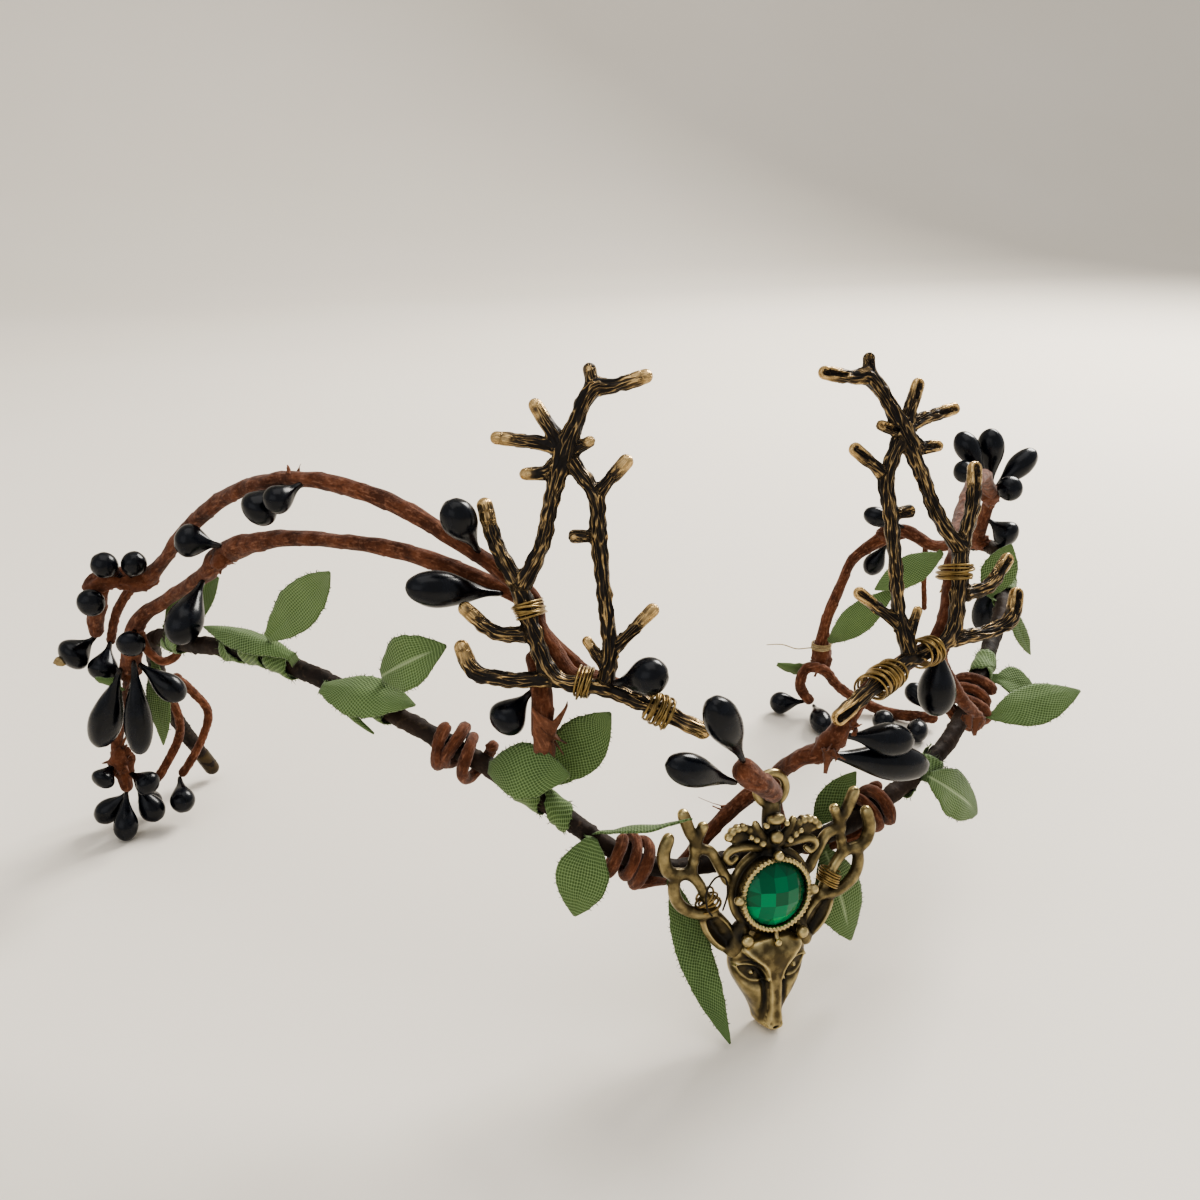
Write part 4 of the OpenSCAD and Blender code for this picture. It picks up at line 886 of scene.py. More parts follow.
# Closed thin shell between two grids of points, with its sizes across and along for the weave
def sheet(heap, top, under, width, length, bias=0.6, mark=0.0):
    n, m = top.shape[:2]
    points = np.vstack([top.reshape(-1, 3), under.reshape(-1, 3)])
    k = n * m
    faces = []
    for i in range(n - 1):
        for j in range(m - 1):
            a, b, c, d = i * m + j, (i + 1) * m + j, (i + 1) * m + j + 1, i * m + j + 1
            faces += [[a, d, c, b], [k + a, k + b, k + c, k + d]]
    rim = list(range(m)) + [i * m + m - 1 for i in range(1, n)]
    rim += [(n - 1) * m + j for j in range(m - 2, -1, -1)] + [i * m for i in range(n - 2, 0, -1)]
    for i, a in enumerate(rim):
        b = rim[(i + 1) % len(rim)]
        faces.append([a, k + a, k + b, b])
    j, i = np.meshgrid(np.linspace(0, width, m), np.linspace(0, length, n))
    uv = np.stack(turned(j.ravel(), i.ravel(), -bias), 1)
    heap.add(points, faces, np.vstack([uv, uv]), mark)


# Loose threads along an edge: each is a thin three-sided spike
def threads(heap, starts, ways, sizes, rng):
    for p, way, size in zip(starts, ways, sizes):
        way = unit(way)
        a = unit(np.cross(way, rng.normal(0, 1, 3)))
        b = np.cross(way, a)
        bend = rng.normal(0, 0.25, 3) * size
        ring = [0.05 * (math.cos(t) * a + math.sin(t) * b) for t in (0, 2.1, 4.2)]
        mid = [p + way * size * 0.55 + bend * 0.3 + 0.8 * r for r in ring]
        points = [p + r for r in ring] + mid + [p + way * size + bend]
        faces = ring_faces(2, 3) + [[3 + k, 3 + (k + 1) % 3, 6] for k in range(3)] + [[2, 1, 0]]
        heap.add(points, faces, np.full((7, 2), thread_pitch / 2))


# Place on the surface of the nearest stem
def carrier(at):
    places = []
    for rows in (VINE, STEM_RIGHT_REAR, STEM_RIGHT_FOOT, STEM_LEFT_DROP, STEM_CENTRE, STEM_RIGHT):
        path = smooth(rows, 10)
        gaps = np.linalg.norm(path[:, :3] - at, axis=1) - path[:, 3]
        best = int(np.argmin(gaps))
        places.append((gaps[best], path[best]))
    spot = min(places, key=lambda place: place[0])[1]
    return spot[:3] + unit(at - spot[:3]) * spot[3] * 0.95


# Half the width of a leaf's tab, half its thickness, and the leaves whose middle fold is worn pale
tab_half = 0.9
cloth_half = 0.12
PALE_FOLDS = (3, 9, 12)


# Leaf: a cupped, wavy sheet with a fold in the middle, a tab at its foot and frayed edges
def leaf(index, row):
    rng = np.random.default_rng(100 + index)
    base, tip = np.array(row[0:3], float), np.array(row[3:6], float)
    width, arch, cup = row[9:12]
    along = unit(tip - base)
    length = np.linalg.norm(tip - base)
    up = across(row[6:9], along)
    out = np.cross(along, up)
    n, m = max(int(length * 1.6), 16), 13
    t = np.linspace(0, 1, n)
    shape = smooth(LEAF_SHAPE, 12)
    half = np.interp(t, shape[:, 0], shape[:, 1]) * width / 2
    half = np.maximum(half, tab_half * (1 - ease(t * 5)))
    s = np.linspace(-1, 1, m)
    bend = 4 * arch * t * (1 - t)
    ragged = 1 + rng.normal(0, 0.02, (n, 2))
    wide = half[:, None] * np.where(s < 0, s * ragged[:, :1], s * ragged[:, 1:])
    fold = cup * (np.sqrt(wide ** 2 + 0.15) - 0.38)
    middle = base + (tip - base) * t[:, None] + up * bend[:, None]
    surface = middle[:, None] + out * wide[..., None] + up * fold[..., None]
    wave = noise(surface, 4.5, index) * 0.45 + noise(surface, 2, index + 50) * 0.12
    wave = wave * ease(t * 4)[:, None] * 0.8
    crease = np.exp(-(wide / 0.3) ** 2) * ease((1 - t) * 3)[:, None]
    surface = surface + up * (wave - 0.14 * crease)[..., None]
    # Tab from the stem that carries the leaf
    start = carrier(base)
    share = np.linspace(0, 1, 5)[:-1, None]
    tab = (start + (surface[0, m // 2] - start) * share)[:, None] + s[:, None] * tab_half * out
    surface = np.concatenate([tab, surface])
    heap = Heap()
    pale = np.pad(crease, ((4, 0), (0, 0))).ravel() * (0.9 if index in PALE_FOLDS else 0.25)
    thick = up * cloth_half
    sheet(heap, surface + thick, surface - thick, width, length, 0.5 * (index % 3), np.tile(pale, 2))
    count = int(length * 6)
    pick = rng.uniform(0.04, 0.93, count)
    which = rng.integers(0, 2, count) * (m - 1)
    starts = surface[(pick * (len(surface) - 1)).astype(int), which]
    ways = np.where(which[:, None] == 0, -1, 1) * out + rng.normal(0, 0.45, (count, 3))
    threads(heap, starts, ways, rng.uniform(0.12, 0.55, count), rng)
    name = "leaf_%02d" % (index + 1)
    heap.make("cloth_" + name, CLOTH, [name])


def windings():
    heap = Heap()
    for i, (a, b) in enumerate(WINDINGS):
        ribbon(heap, a, b, 5.2, 5.4, 0.42, i + 1)
    heap.make("cloth_windings", CLOTH, ["leaf_windings"])


# Outline of a berry from its neck to its round end, as distances out and along
def berry_outline(length, r):
    waist = 0.66
    low = [(neck_r + (r - neck_r) * math.sin(math.radians(90 * t)) ** 1.9, length * waist * t)
           for t in np.linspace(0, 1, 14)]
    high = [(r * math.cos(a), length * (waist + (1 - waist) * math.sin(a)))
            for a in np.radians(np.arange(9, 90, 9))]
    return [(0.3, -0.9), (0.42, -0.45)] + low + high


def neck_on(route, at, tip):
    last = len(route) - 1
    i = min(max(at, 0), last)
    row, along = on(route, i), heading_at(route, i)
    to = np.array(tip, float) - row[:3]
    out = across(to, along)
    if at < 0 or at > last:
        return row[:3] + np.sign(at) * along * (gap + 0.9 * neck_r) + out * row[3] * 0.7
    return row[:3] + out * (row[3] + gap + 0.05 + neck_r * abs(unit(to) @ along))


def berry(heap, row, seed, sides=26):
    tip = np.array(row[2], float)
    neck = neck_on(row[0], row[1], tip)
    along = unit(tip - neck)
    u = first_side(along)
    v = np.cross(along, u)
    outline = np.array(berry_outline(np.linalg.norm(tip - neck), row[3] / 2))
    a = np.arange(sides) * 2 * math.pi / sides
    n = len(outline)
    r, z = outline[:, 0][:, None], outline[:, 1][:, None]
    thin = np.clip(1.6 - r / 1.4, 0, 1)
    dents = noise(round_rod(a + 0 * z, 1.3, z / 2.6 + 0 * a), 1.0, seed)
    wrinkle = np.cos(5 * a + 0.8 * z + seed) * thin
    r = r * (1 + 0.025 * dents + 0.07 * wrinkle)
    out = np.cos(a)[None, :, None] * u + np.sin(a)[None, :, None] * v
    ring = neck + z[..., None] * along + r[..., None] * out
    points = np.vstack([ring.reshape(-1, 3), [neck - 1.0 * along], [neck + (outline[-1][1] + 0.06) * along]])
    faces = ring_faces(n, sides)
    low, high = n * sides, n * sides + 1
    faces += [[low, (k + 1) % sides, k] for k in range(sides)]
    faces += [[high, (n - 1) * sides + k, (n - 1) * sides + (k + 1) % sides] for k in range(sides)]
    mark = np.concatenate([np.repeat(np.clip(1.3 - 1.2 * outline[:, 1], 0, 1), sides), [1, 0]])
    heap.add(points, faces, None, mark)


def berries():
    seed = 60
    for node, rows in BERRIES.items():
        heap = Heap()
        for row in rows:
            seed += 1
            berry(heap, row, seed)
        heap.make("satin_" + node, BERRY, [node])


# Rod under a wrap, rise of a turn, how loosely it lies behind and beside, the wire's radius and its wear
rod_r = 1.4
wire_rise = 0.78
loose_far = 1.22
loose_near = 1.3
thread_r = 0.18
wire_mark = 0.64


# Wire wrap round an antler rod from a to b, that reaches back over a bound stem; its turns are uneven
def wire_wrap(name, a, b, back, turns, seed):
    rng = np.random.default_rng(seed)
    along = unit(b - a)
    out = across(back, along)
    reach = np.linalg.norm(back)
    middle = (a + b) / 2 + out * reach / 2
    half_a = out * loose_far * (reach / 2 + rod_r + wire_r)
    half_b = np.cross(along, out) * loose_near * (rod_r + wire_r)
    span = turns * wire_rise
    heap = Heap()
    # Two layers of turns, the second crossing the first on a slant
    layers = ((turns + 2, 0.15, 0.93), (max(turns - 1, 2), 0.75, 0.99))
    for layer, (count, slant, grow) in enumerate(layers):
        rise = span / (turns + 2) * (1 + 0.6 * layer)
        path = coil_path(middle, along, grow * half_a, grow * half_b, count, rise, thread_r)
        around = np.arange(len(path)) / coil_steps * 2 * math.pi
        uneven = sway(np.arange(len(path)) / 17.0, seed + layer)
        path[:, :3] += 0.2 * uneven + np.outer(slant * np.sin(around + seed) + 0.3 * uneven[:, 0], along)
        for tip, sign in ((path[0], -1), (path[-1], 1)):
            way = unit(sign * along + rng.normal(0, 0.7, 3) + 0.6 * unit(tip[:3] - middle))
            curl = [tip[:3] + way * t * 1.5 + 0.4 * np.array([math.sin(3 * t), 0, math.cos(3 * t) - 1])
                    for t in np.linspace(0, 1, 8)]
            heap.add(*tube([[*p, thread_r] for p in curl], 6, None, 0.25), wire_mark)
        heap.add(*tube(path, 8, None, 0.28), wire_mark)
    heap.make("brass_" + name, WIRE, [name])


# Wire wrap that ties a small antler of the pendant, s is its side
def pendant_wrap(name, s, turns, seed):
    ring = rod_r + wire_r
    origin = hang([0, 0, 0])[0]
    way = hang([s * 2.2, 4.6, 0])[0] - origin
    middle = [s * 10.3, 22.2, 1.8] if s < 0 else [s * 10.7, 23.1, 1.8]
    path = coil_path(hang(middle)[0], way, hang([s * 0.9 * ring, -0.43 * ring, 0])[0] - origin,
                     hang([0, 0, ring])[0] - origin, turns, 2.3 / turns, thread_r)
    path[:, :3] += (0.4 if s < 0 else 0.25) * sway(np.arange(len(path)) / 16.0, seed)
    parts = [(*tube(path, 8, None, 0.28), wire_mark)]
    if s < 0:
        # Big thin loop that stands off the wrap
        rows = [[-10.4, 20.6, 3.8], [-11.6, 22.4, 4.4], [-11.8, 25, 4.6], [-10.2, 27, 4.4], [-8.4, 26.4, 4],
                [-7.9, 23.6, 3.6], [-8.6, 21, 3.4]]
        loop = smooth([[*hang(p)[0], thread_r * 0.85] for p in rows], 8)
        parts.append((*tube(loop, 8, None, 0.28), 0.1))
    joined("brass_" + name, WIRE, parts, [name])


# Each wrap: name, casting, ends of the stretch on its rod, way back to the stem, turns
def wires():
    rows = (
        ("left_top", left_point, [-25, 14.9, 0], [-25.8, 17.2, 0], [0.1, 0, -3.2], 3),
        ("left_middle", left_point, [-15.8, 5.7, 0], [-18.4, 6.1, 0], [0, 0.15, -2.85], 3),
        ("left_base", left_point, [-4.6, 1.9, -0.3], [-8, 3.4, -0.3], [0, 0, -0.1], 5),
        ("right_top", right_point, [-25, 14.9, 0], [-25.8, 17.2, 0], [-0.2, -0.6, 2.9], 3),
        ("right_middle", right_point, [-16, 5.7, 0], [-18.6, 6.1, 0], [-0.4, -0.8, 2.75], 3),
        ("right_base", right_point, [-6.4, 2.7, 0], [-11.6, 4.6, 0], [-0.4, -0.8, 2.75], 6),
    )
    for i, (name, point, a, b, back, turns) in enumerate(rows):
        wire_wrap("wire_" + name, point(a), point(b), point(back) - point([0, 0, 0]), turns, 81 + i)
    pendant_wrap("wire_pendant_left", -1, 5, 87)
    pendant_wrap("wire_pendant_right", 1, 6, 88)


# The lower of two distances, with a soft seam between them
def lower(a, b, seam):
    h = np.clip(0.5 + 0.5 * (a - b) / seam, 0, 1)
    return a * (1 - h) + b * h - seam * h * (1 - h)


# Castings are shaped as a field of distances on a grid, negative inside, and then meshed
class Clay:
    def __init__(self, low, high, step):
        self.low, self.step = np.array(low, float), step
        self.shape = (np.ceil((np.array(high, float) - self.low) / step)).astype(int) + 1
        self.field = np.full(self.shape, 3.0, np.float32)
        self.grain = np.zeros((*self.shape, 3), np.float32)

    # Part of the grid within reach of a box, and its points
    def room(self, low, high, reach):
        a = np.clip(((np.asarray(low) - reach - self.low) / self.step).astype(int), 0, self.shape)
        b = np.clip(((np.asarray(high) + reach - self.low) / self.step).astype(int) + 2, 0, self.shape)
        spot = tuple(slice(i, j) for i, j in zip(a, b))
        axes = [self.low[k] + self.step * np.arange(a[k], b[k]) for k in range(3)]
        return spot, np.stack(np.meshgrid(*axes, indexing="ij"), -1)

    # Add a form to the clay, or take it out of it
    def join(self, spot, d, blend, hollow=False):
        sign = -1 if hollow else 1
        self.field[spot] = sign * lower(sign * self.field[spot], d, blend)

    # Ellipsoid with its length turned in the plane, as an outer form or a hollow
    def egg(self, at, radii, turn=0.0, blend=0.4, hollow=False):
        at, radii = np.array(at, float), np.array(radii, float)
        reach = radii.max()
        spot, p = self.room(at - reach, at + reach, 0.8)
        q = p - at
        q = np.stack([*turned(q[..., 0], q[..., 1], -math.radians(turn)), q[..., 2]], -1)
        k0 = np.linalg.norm(q / radii, axis=-1)
        k1 = np.linalg.norm(q / radii ** 2, axis=-1)
        d = k0 * (k0 - 1) / np.maximum(k1, 1e-6)
        self.join(spot, d, blend, hollow)

    # Rod through rows across, up, out, radius; the field keeps the way round and along the nearest one
    def rod(self, rows, blend=0.3, flat=1.0, hollow=False, steps=4):
        rows = smooth(rows, steps) if len(rows) > 2 else np.array(rows, float)
        gone = float(rows[0][0] * 3)
        for a, b in zip(rows[:-1], rows[1:]):
            ends = np.stack([a[:3], b[:3]])
            thick = max(a[3], b[3])
            spot, p = self.room(ends.min(0) - thick, ends.max(0) + thick, 0.7)
            ab = b[:3] - a[:3]
            length = np.linalg.norm(ab)
            t = np.clip(((p - a[:3]) @ ab) / max(length ** 2, 1e-9), 0, 1)
            off = p - (a[:3] + t[..., None] * ab)
            off[..., 2] /= flat
            r = a[3] + (b[3] - a[3]) * t
            far = np.linalg.norm(off, axis=-1)
            d = (far - r) * min(flat, 1)
            closer = d < self.field[spot]
            side = np.array([-ab[1], ab[0], 0]) / max(length, 1e-9)
            around = np.maximum(far, 0.1)
            way = np.stack([off @ side / around, off[..., 2] / around, gone + t * length], -1)
            self.grain[spot][closer] = way[closer]
            gone += length
            self.join(spot, d, blend, hollow)

    # Ring in the plane, or lying round the axis; swell(angle, round) changes its radius
    def ring(self, at, big, small, blend=0.2, swell=None):
        at = np.array(at, float)
        reach = np.array([big + small, big + small, small])
        spot, p = self.room(at - reach, at + reach, 0.6)
        q = p - at
        around = np.arctan2(q[..., 1], q[..., 0])
        out = np.hypot(q[..., 0], q[..., 1]) - big
        d = np.hypot(out, q[..., 2]) - small
        if swell is not None:
            d = d - swell(around, np.arctan2(q[..., 2], out))
        self.join(spot, d, blend)

    def disc(self, at, r, low, high, blend=0.2, hollow=False):
        at = np.array(at, float)
        spot, p = self.room(at + [-r, -r, low], at + [r, r, high], 0.6)
        q = p - at
        thick = np.abs(q[..., 2] - (low + high) / 2) - (high - low) / 2
        d = np.maximum(np.hypot(q[..., 0], q[..., 1]) - r, thick)
        self.join(spot, d, blend, hollow)

    # Slab with a shaped front: outline and front are arrays over the plane of the box
    def slab(self, low, high, shape, back, blend):
        spot, p = self.room(low, high, 0.8)
        outline, front = shape(p[:, :, 0, 0], p[:, :, 0, 1])
        d, e = (p[..., 2] - front[..., None]) * 0.8, outline[..., None]
        self.join(spot, np.maximum(-lower(-e, -d, 0.8), back - p[..., 2]), blend)

    # Mesh of the surface, one point in each cell that it crosses, with how far each stands out and its grain
    def mesh(self, blur):
        f = self.field
        nx, ny, nz = f.shape
        corner = [(i, j, k) for i in (0, 1) for j in (0, 1) for k in (0, 1)]
        cells = [f[i:nx - 1 + i, j:ny - 1 + j, k:nz - 1 + k] for i, j, k in corner]
        count = sum((c < 0).astype(np.int8) for c in cells)
        mixed = (count > 0) & (count < 8)
        where = np.argwhere(mixed)
        index = np.full(mixed.shape, -1)
        index[mixed] = np.arange(len(where))
        values = np.stack([c[mixed] for c in cells], 1)
        total, hits = np.zeros((len(where), 3)), np.zeros(len(where))
        for a in range(8):
            for b in range(a + 1, 8):
                d = np.array(corner[b]) - np.array(corner[a])
                if np.abs(d).sum() != 1:
                    continue
                va, vb = values[:, a], values[:, b]
                cross = (va < 0) != (vb < 0)
                t = np.where(cross, va / np.where(cross, va - vb, 1), 0)
                total += cross[:, None] * (np.array(corner[a]) + t[:, None] * d)
                hits += cross
        local = total / hits[:, None]
        points = self.low + self.step * (where + local)
        faces = []
        for axis in range(3):
            u, v = (axis + 1) % 3, (axis + 2) % 3
            a = np.moveaxis(f, (axis, u, v), (0, 1, 2))
            here, beyond = a[:-1, 1:-1, 1:-1] < 0, a[1:, 1:-1, 1:-1] < 0
            ids = np.moveaxis(index, (axis, u, v), (0, 1, 2))
            for sign, change in ((1, here & ~beyond), (-1, ~here & beyond)):
                i, j, k = np.nonzero(change)
                quad = np.stack([ids[i, j, k], ids[i, j + 1, k], ids[i, j + 1, k + 1], ids[i, j, k + 1]], 1)
                faces.append(quad[:, ::sign])
        soft = np.clip(f, -1, 1)
        for axis in range(3):
            for _ in range(2):
                wider = [(blur + 1, blur) if k == axis else (0, 0) for k in range(3)]
                c = np.cumsum(np.pad(soft, wider, mode="edge"), axis=axis)
                n = soft.shape[axis]
                hi = np.take(c, np.arange(2 * blur + 1, 2 * blur + 1 + n), axis=axis)
                lo = np.take(c, np.arange(n), axis=axis)
                soft = (hi - lo) / (2 * blur + 1)
        stands, way = 0, 0
        for i, j, k in corner:
            share = np.prod(np.where([i, j, k], local, 1 - local), axis=1)
            spot = tuple((where + [i, j, k]).T)
            stands = stands + share * soft[spot]
            way = way + share[:, None] * self.grain[spot]
        return points, np.vstack(faces).tolist(), stands, way


# Piece of brass with its wear, and its grain if it has one
def casting(name, node, points, faces, look, worn, grain=None):
    marks = {"mark": np.clip(worn, 0, 1)}
    if grain is not None:
        marks["grain"] = grain
    piece(name, points, faces, look, [node], None, marks)


cast_flat = 0.88


# Bark: thin ridges that run along a branch, part and meet again, 1 on a ridge
def bark(way):
    p = np.stack([1.9 * way[:, 0], 1.9 * way[:, 1], 0.3 * way[:, 2]], -1)
    q = np.stack([1.5 * way[:, 0], 1.5 * way[:, 1], 0.6 * way[:, 2] + 40], -1)
    lines = np.clip(1 - 3.8 * np.abs(noise(p, 1.0, 3) + 0.14 * noise(q, 0.6, 5)), -0.6, 1)
    return lines, noise(q, 1.0, 9)


# The cast antler; reach is how far from a tip the brass is rubbed smooth
def antler(name, node, base, turn, side):
    clay = Clay([-38, -3.2, -2.2], [3.4, 53.2, 2.2], 0.175)
    tips = [(ANTLER_BRANCHES[0][1], ANTLER_BRANCHES[0][0])]
    reach = [3.4]
    for i, rows in enumerate(ANTLER_BRANCHES):
        rods = [[r[0], r[1], 0, r[2] * 0.86] for r in rows]
        twig = i not in (0, 3)
        if twig:
            rods[-1][3] *= 0.8
        clay.rod(rods, 0.6, cast_flat, steps=3)
        if twig:
            tips.append((rows[-2], rows[-1]))
            reach.append(0.4 + 0.52 * np.clip(math.dist(rows[0][:2], rows[-1][:2]) - 3.4, 0, 4.5))
    reach = np.array(reach)
    ends = np.array([tip[:2] for _, tip in tips])

    def from_tips(p):
        return np.min(np.linalg.norm(p[:, None, :2] - ends[None], axis=2) / reach, axis=1)

    band = np.abs(clay.field) < 0.6
    to_tip = from_tips(np.argwhere(band) * clay.step + clay.low)
    lines, lumps = bark(clay.grain[band])
    clay.field[band] -= ease(1.6 * to_tip - 0.5) * (0.13 * lines + 0.12 * lumps)
    # Rubbed, slightly swollen tips with a long hollow in the back
    for inner, tip in tips:
        way = unit([inner[0] - tip[0], inner[1] - tip[1], 0])
        end = np.array([tip[0], tip[1], 0])
        r = tip[2] * 0.78
        long = min(math.dist(inner[:2], tip[:2]), 4.2)
        clay.rod([[*end, r], [*(end + way * long * 0.6), r * 0.85]], 0.4, cast_flat)
        if long > 2.6:
            hollow = end - np.array([0, 0, r * 0.8]) - way * r * 0.2
            clay.rod([[*hollow, r * 0.58], [*(hollow + way * long * 0.8), r * 0.25]], 0.25, hollow=True)
    points, faces, stands, way = clay.mesh(3)
    lines, lumps = bark(way)
    worn = 0.16 + 0.1 * np.clip(lines, 0, 1) + 0.7 * np.minimum(stands, 0.14) + 0.08 * lumps
    rubbed = 0.36 + 2.3 * stands + 0.18 * noise(points, 0.9, 8)
    rubbed = rubbed - 0.6 * ease((-0.25 - points[:, 2]) / 0.3) * ease((0.16 - stands) / 0.16)
    worn = worn + (rubbed - worn) * ease(1.5 - from_tips(points))
    casting(name, node, stand_points(base, turn, side, points), faces, ANTLER, worn, way * [1.3, 1.3, 1])


# Deer's face in the pendant's plane, nose tip at 0: up, half width, ridge's half width, its height, cheek
FACE = [
    [0.3, 1.0, 0.8, 4.4, 3.75], [0.7, 1.6, 1.3, 4.9, 4.0], [1.3, 2.1, 1.6, 5.3, 4.1],
    [2.6, 2.4, 1.4, 5.2, 3.9], [4.5, 3.2, 1.2, 5.1, 3.9], [7, 4.7, 1.2, 5.1, 4.0], [9, 5.8, 1.4, 5.2, 3.9],
    [10.5, 6.3, 2.0, 5.3, 3.8], [12, 6.4, 3.0, 5.4, 3.9], [13.4, 6.1, 4.6, 5.3, 4.2],
    [14.6, 5.1, 5.2, 4.9, 4.2], [15.5, 3.6, 4, 4.4, 4.0], [16, 2, 2, 4, 3.8]
]
EYE_AT = [3.7, 10.3]
EYE_TILT = 27


# Outline of the deer's face and how far its front stands out, at places across and up
def face_shape(x, y):
    rows = smooth(FACE, 6)
    w, r, high, cheek = [np.interp(y, rows[:, 0], rows[:, k]) for k in (1, 2, 3, 4)]
    x = np.abs(x)
    q = x / w
    front = cheek - 1.3 * np.clip(q, 0, 1.3) ** 3
    front = front + (high - cheek) * (1 - ease((x - r + 0.5) / 1.0))
    front = front - 0.2 * (x / np.maximum(r, 0.8)) ** 2 * (x < r)
    along_nose = ease((y - 2.2) / 1.5) * ease((11 - y) / 2)
    front = front - 0.2 * np.exp(-((x - r - 0.65) / 0.4) ** 2) * along_nose
    front = front + 0.45 * np.exp(-((q - 0.62) / 0.3) ** 2) * ease((y - 3) / 3) * ease((9.5 - y) / 2)
    a, b = turned(x - EYE_AT[0], y - EYE_AT[1], -math.radians(EYE_TILT))
    front = front - 0.75 * np.exp(-(a / 2.7) ** 2 - (b / 1.4) ** 2)
    ball = np.sqrt(np.clip(1 - (a / 1.9) ** 2 - (b / 0.95) ** 2, 0, 1))
    front = front + 0.4 * ball + 0.7 * np.exp(-(a ** 2 + b ** 2) / 0.16)
    for sign, lift, high_lid in ((1, 1.2, 0.5), (-1, 1.1, 0.42), (1, 2.1, 0.2)):
        line = sign * lift * (1 - (a / (2.2 + 0.4 * lift)) ** 2)
        front = front + high_lid * np.exp(-((b - line) / 0.27) ** 2) * (np.abs(a) < 2.4 + 0.3 * lift)
    front = front - 0.9 * np.exp(-(x / 0.5) ** 2 - ((y - 1.15) / 0.28) ** 2)
    front = front - 0.3 * np.exp(-((x - 0.9) / 0.25) ** 2 - ((y - 1.7) / 0.4) ** 2)
    outline = (x - w) * 0.85
    return np.maximum(outline, np.maximum(y - 16, 0.3 - y)), front


def deer_face():
    clay = Clay([-7.6, -1, -0.6], [7.6, 17, 6.6], 0.125)
    clay.slab([-7, -0.6, -0.2], [7, 16.4, 6], face_shape, 0.3, 0.2)
    points, faces, stands, _ = clay.mesh(4)
    points[:, 2] += noise(points, 0.7, 3) * 0.03 + noise(points, 0.35, 4) * 0.02
    worn = 0.46 + 2.6 * stands + 0.1 * noise(points, 0.9, 6)
    points = hang(points)
    points[:, 2] = np.maximum(points[:, 2], 0.02)
    casting("deer_face", "deer_pendant", points, faces, CAST, worn)


# Rods of one side of the pendant's frame: how softly they join, then rows across, up, out, radius
FRAME_RODS = [
    # Foot of the ear
    (0.6, [[6.4, 13.6, 2.2, 0.9], [5.4, 15.2, 2, 1.2], [4.6, 17, 1.6, 1.2]]),
    # Small antler
    (0.5, [[5.8, 14.8, 1.0, 0.9], [9.4, 20.4, 1.4, 0.8], [11.6, 25, 1.8, 0.7], [13.2, 27, 1.8, 0.75]]),
    (0.5, [[9.4, 20.4, 1.8, 0.8], [12.2, 20.6, 1.8, 0.8], [14.8, 22.2, 1.8, 0.8], [15.9, 24.6, 1.8, 0.8],
           [15.4, 27.2, 1.8, 0.75], [13.2, 27, 1.8, 0.75]]),
    (0.5, [[14.9, 27.1, 1.8, 0.8], [16.9, 28, 1.9, 0.85], [17.7, 30.6, 2, 0.88], [16.9, 33.3, 2.1, 0.85]]),
    (0.5, [[13.2, 27, 1.8, 0.75], [12.3, 31.4, 1.8, 0.75], [13.5, 34, 2, 0.8], [14.6, 36.8, 2.2, 0.85]]),
    (0.5, [[12.4, 31.4, 1.8, 0.75], [11.3, 34.3, 2, 0.85]]),
    (0.5, [[12.6, 31, 1.8, 0.75], [10, 30.2, 1.8, 0.7], [8.5, 27.8, 1.8, 0.7], [7, 25, 1.8, 0.75]])
]
CURL = [[2.2, 30.2, 2.6, 0.9], [4.4, 30.6, 2.8, 0.8], [6.6, 30.4, 2.8, 0.65], [7.7, 29.3, 2.6, 0.55],
        [6.9, 28.3, 2.5, 0.5], [6.0, 28.9, 2.6, 0.45]]
STONE_UP = 22.8


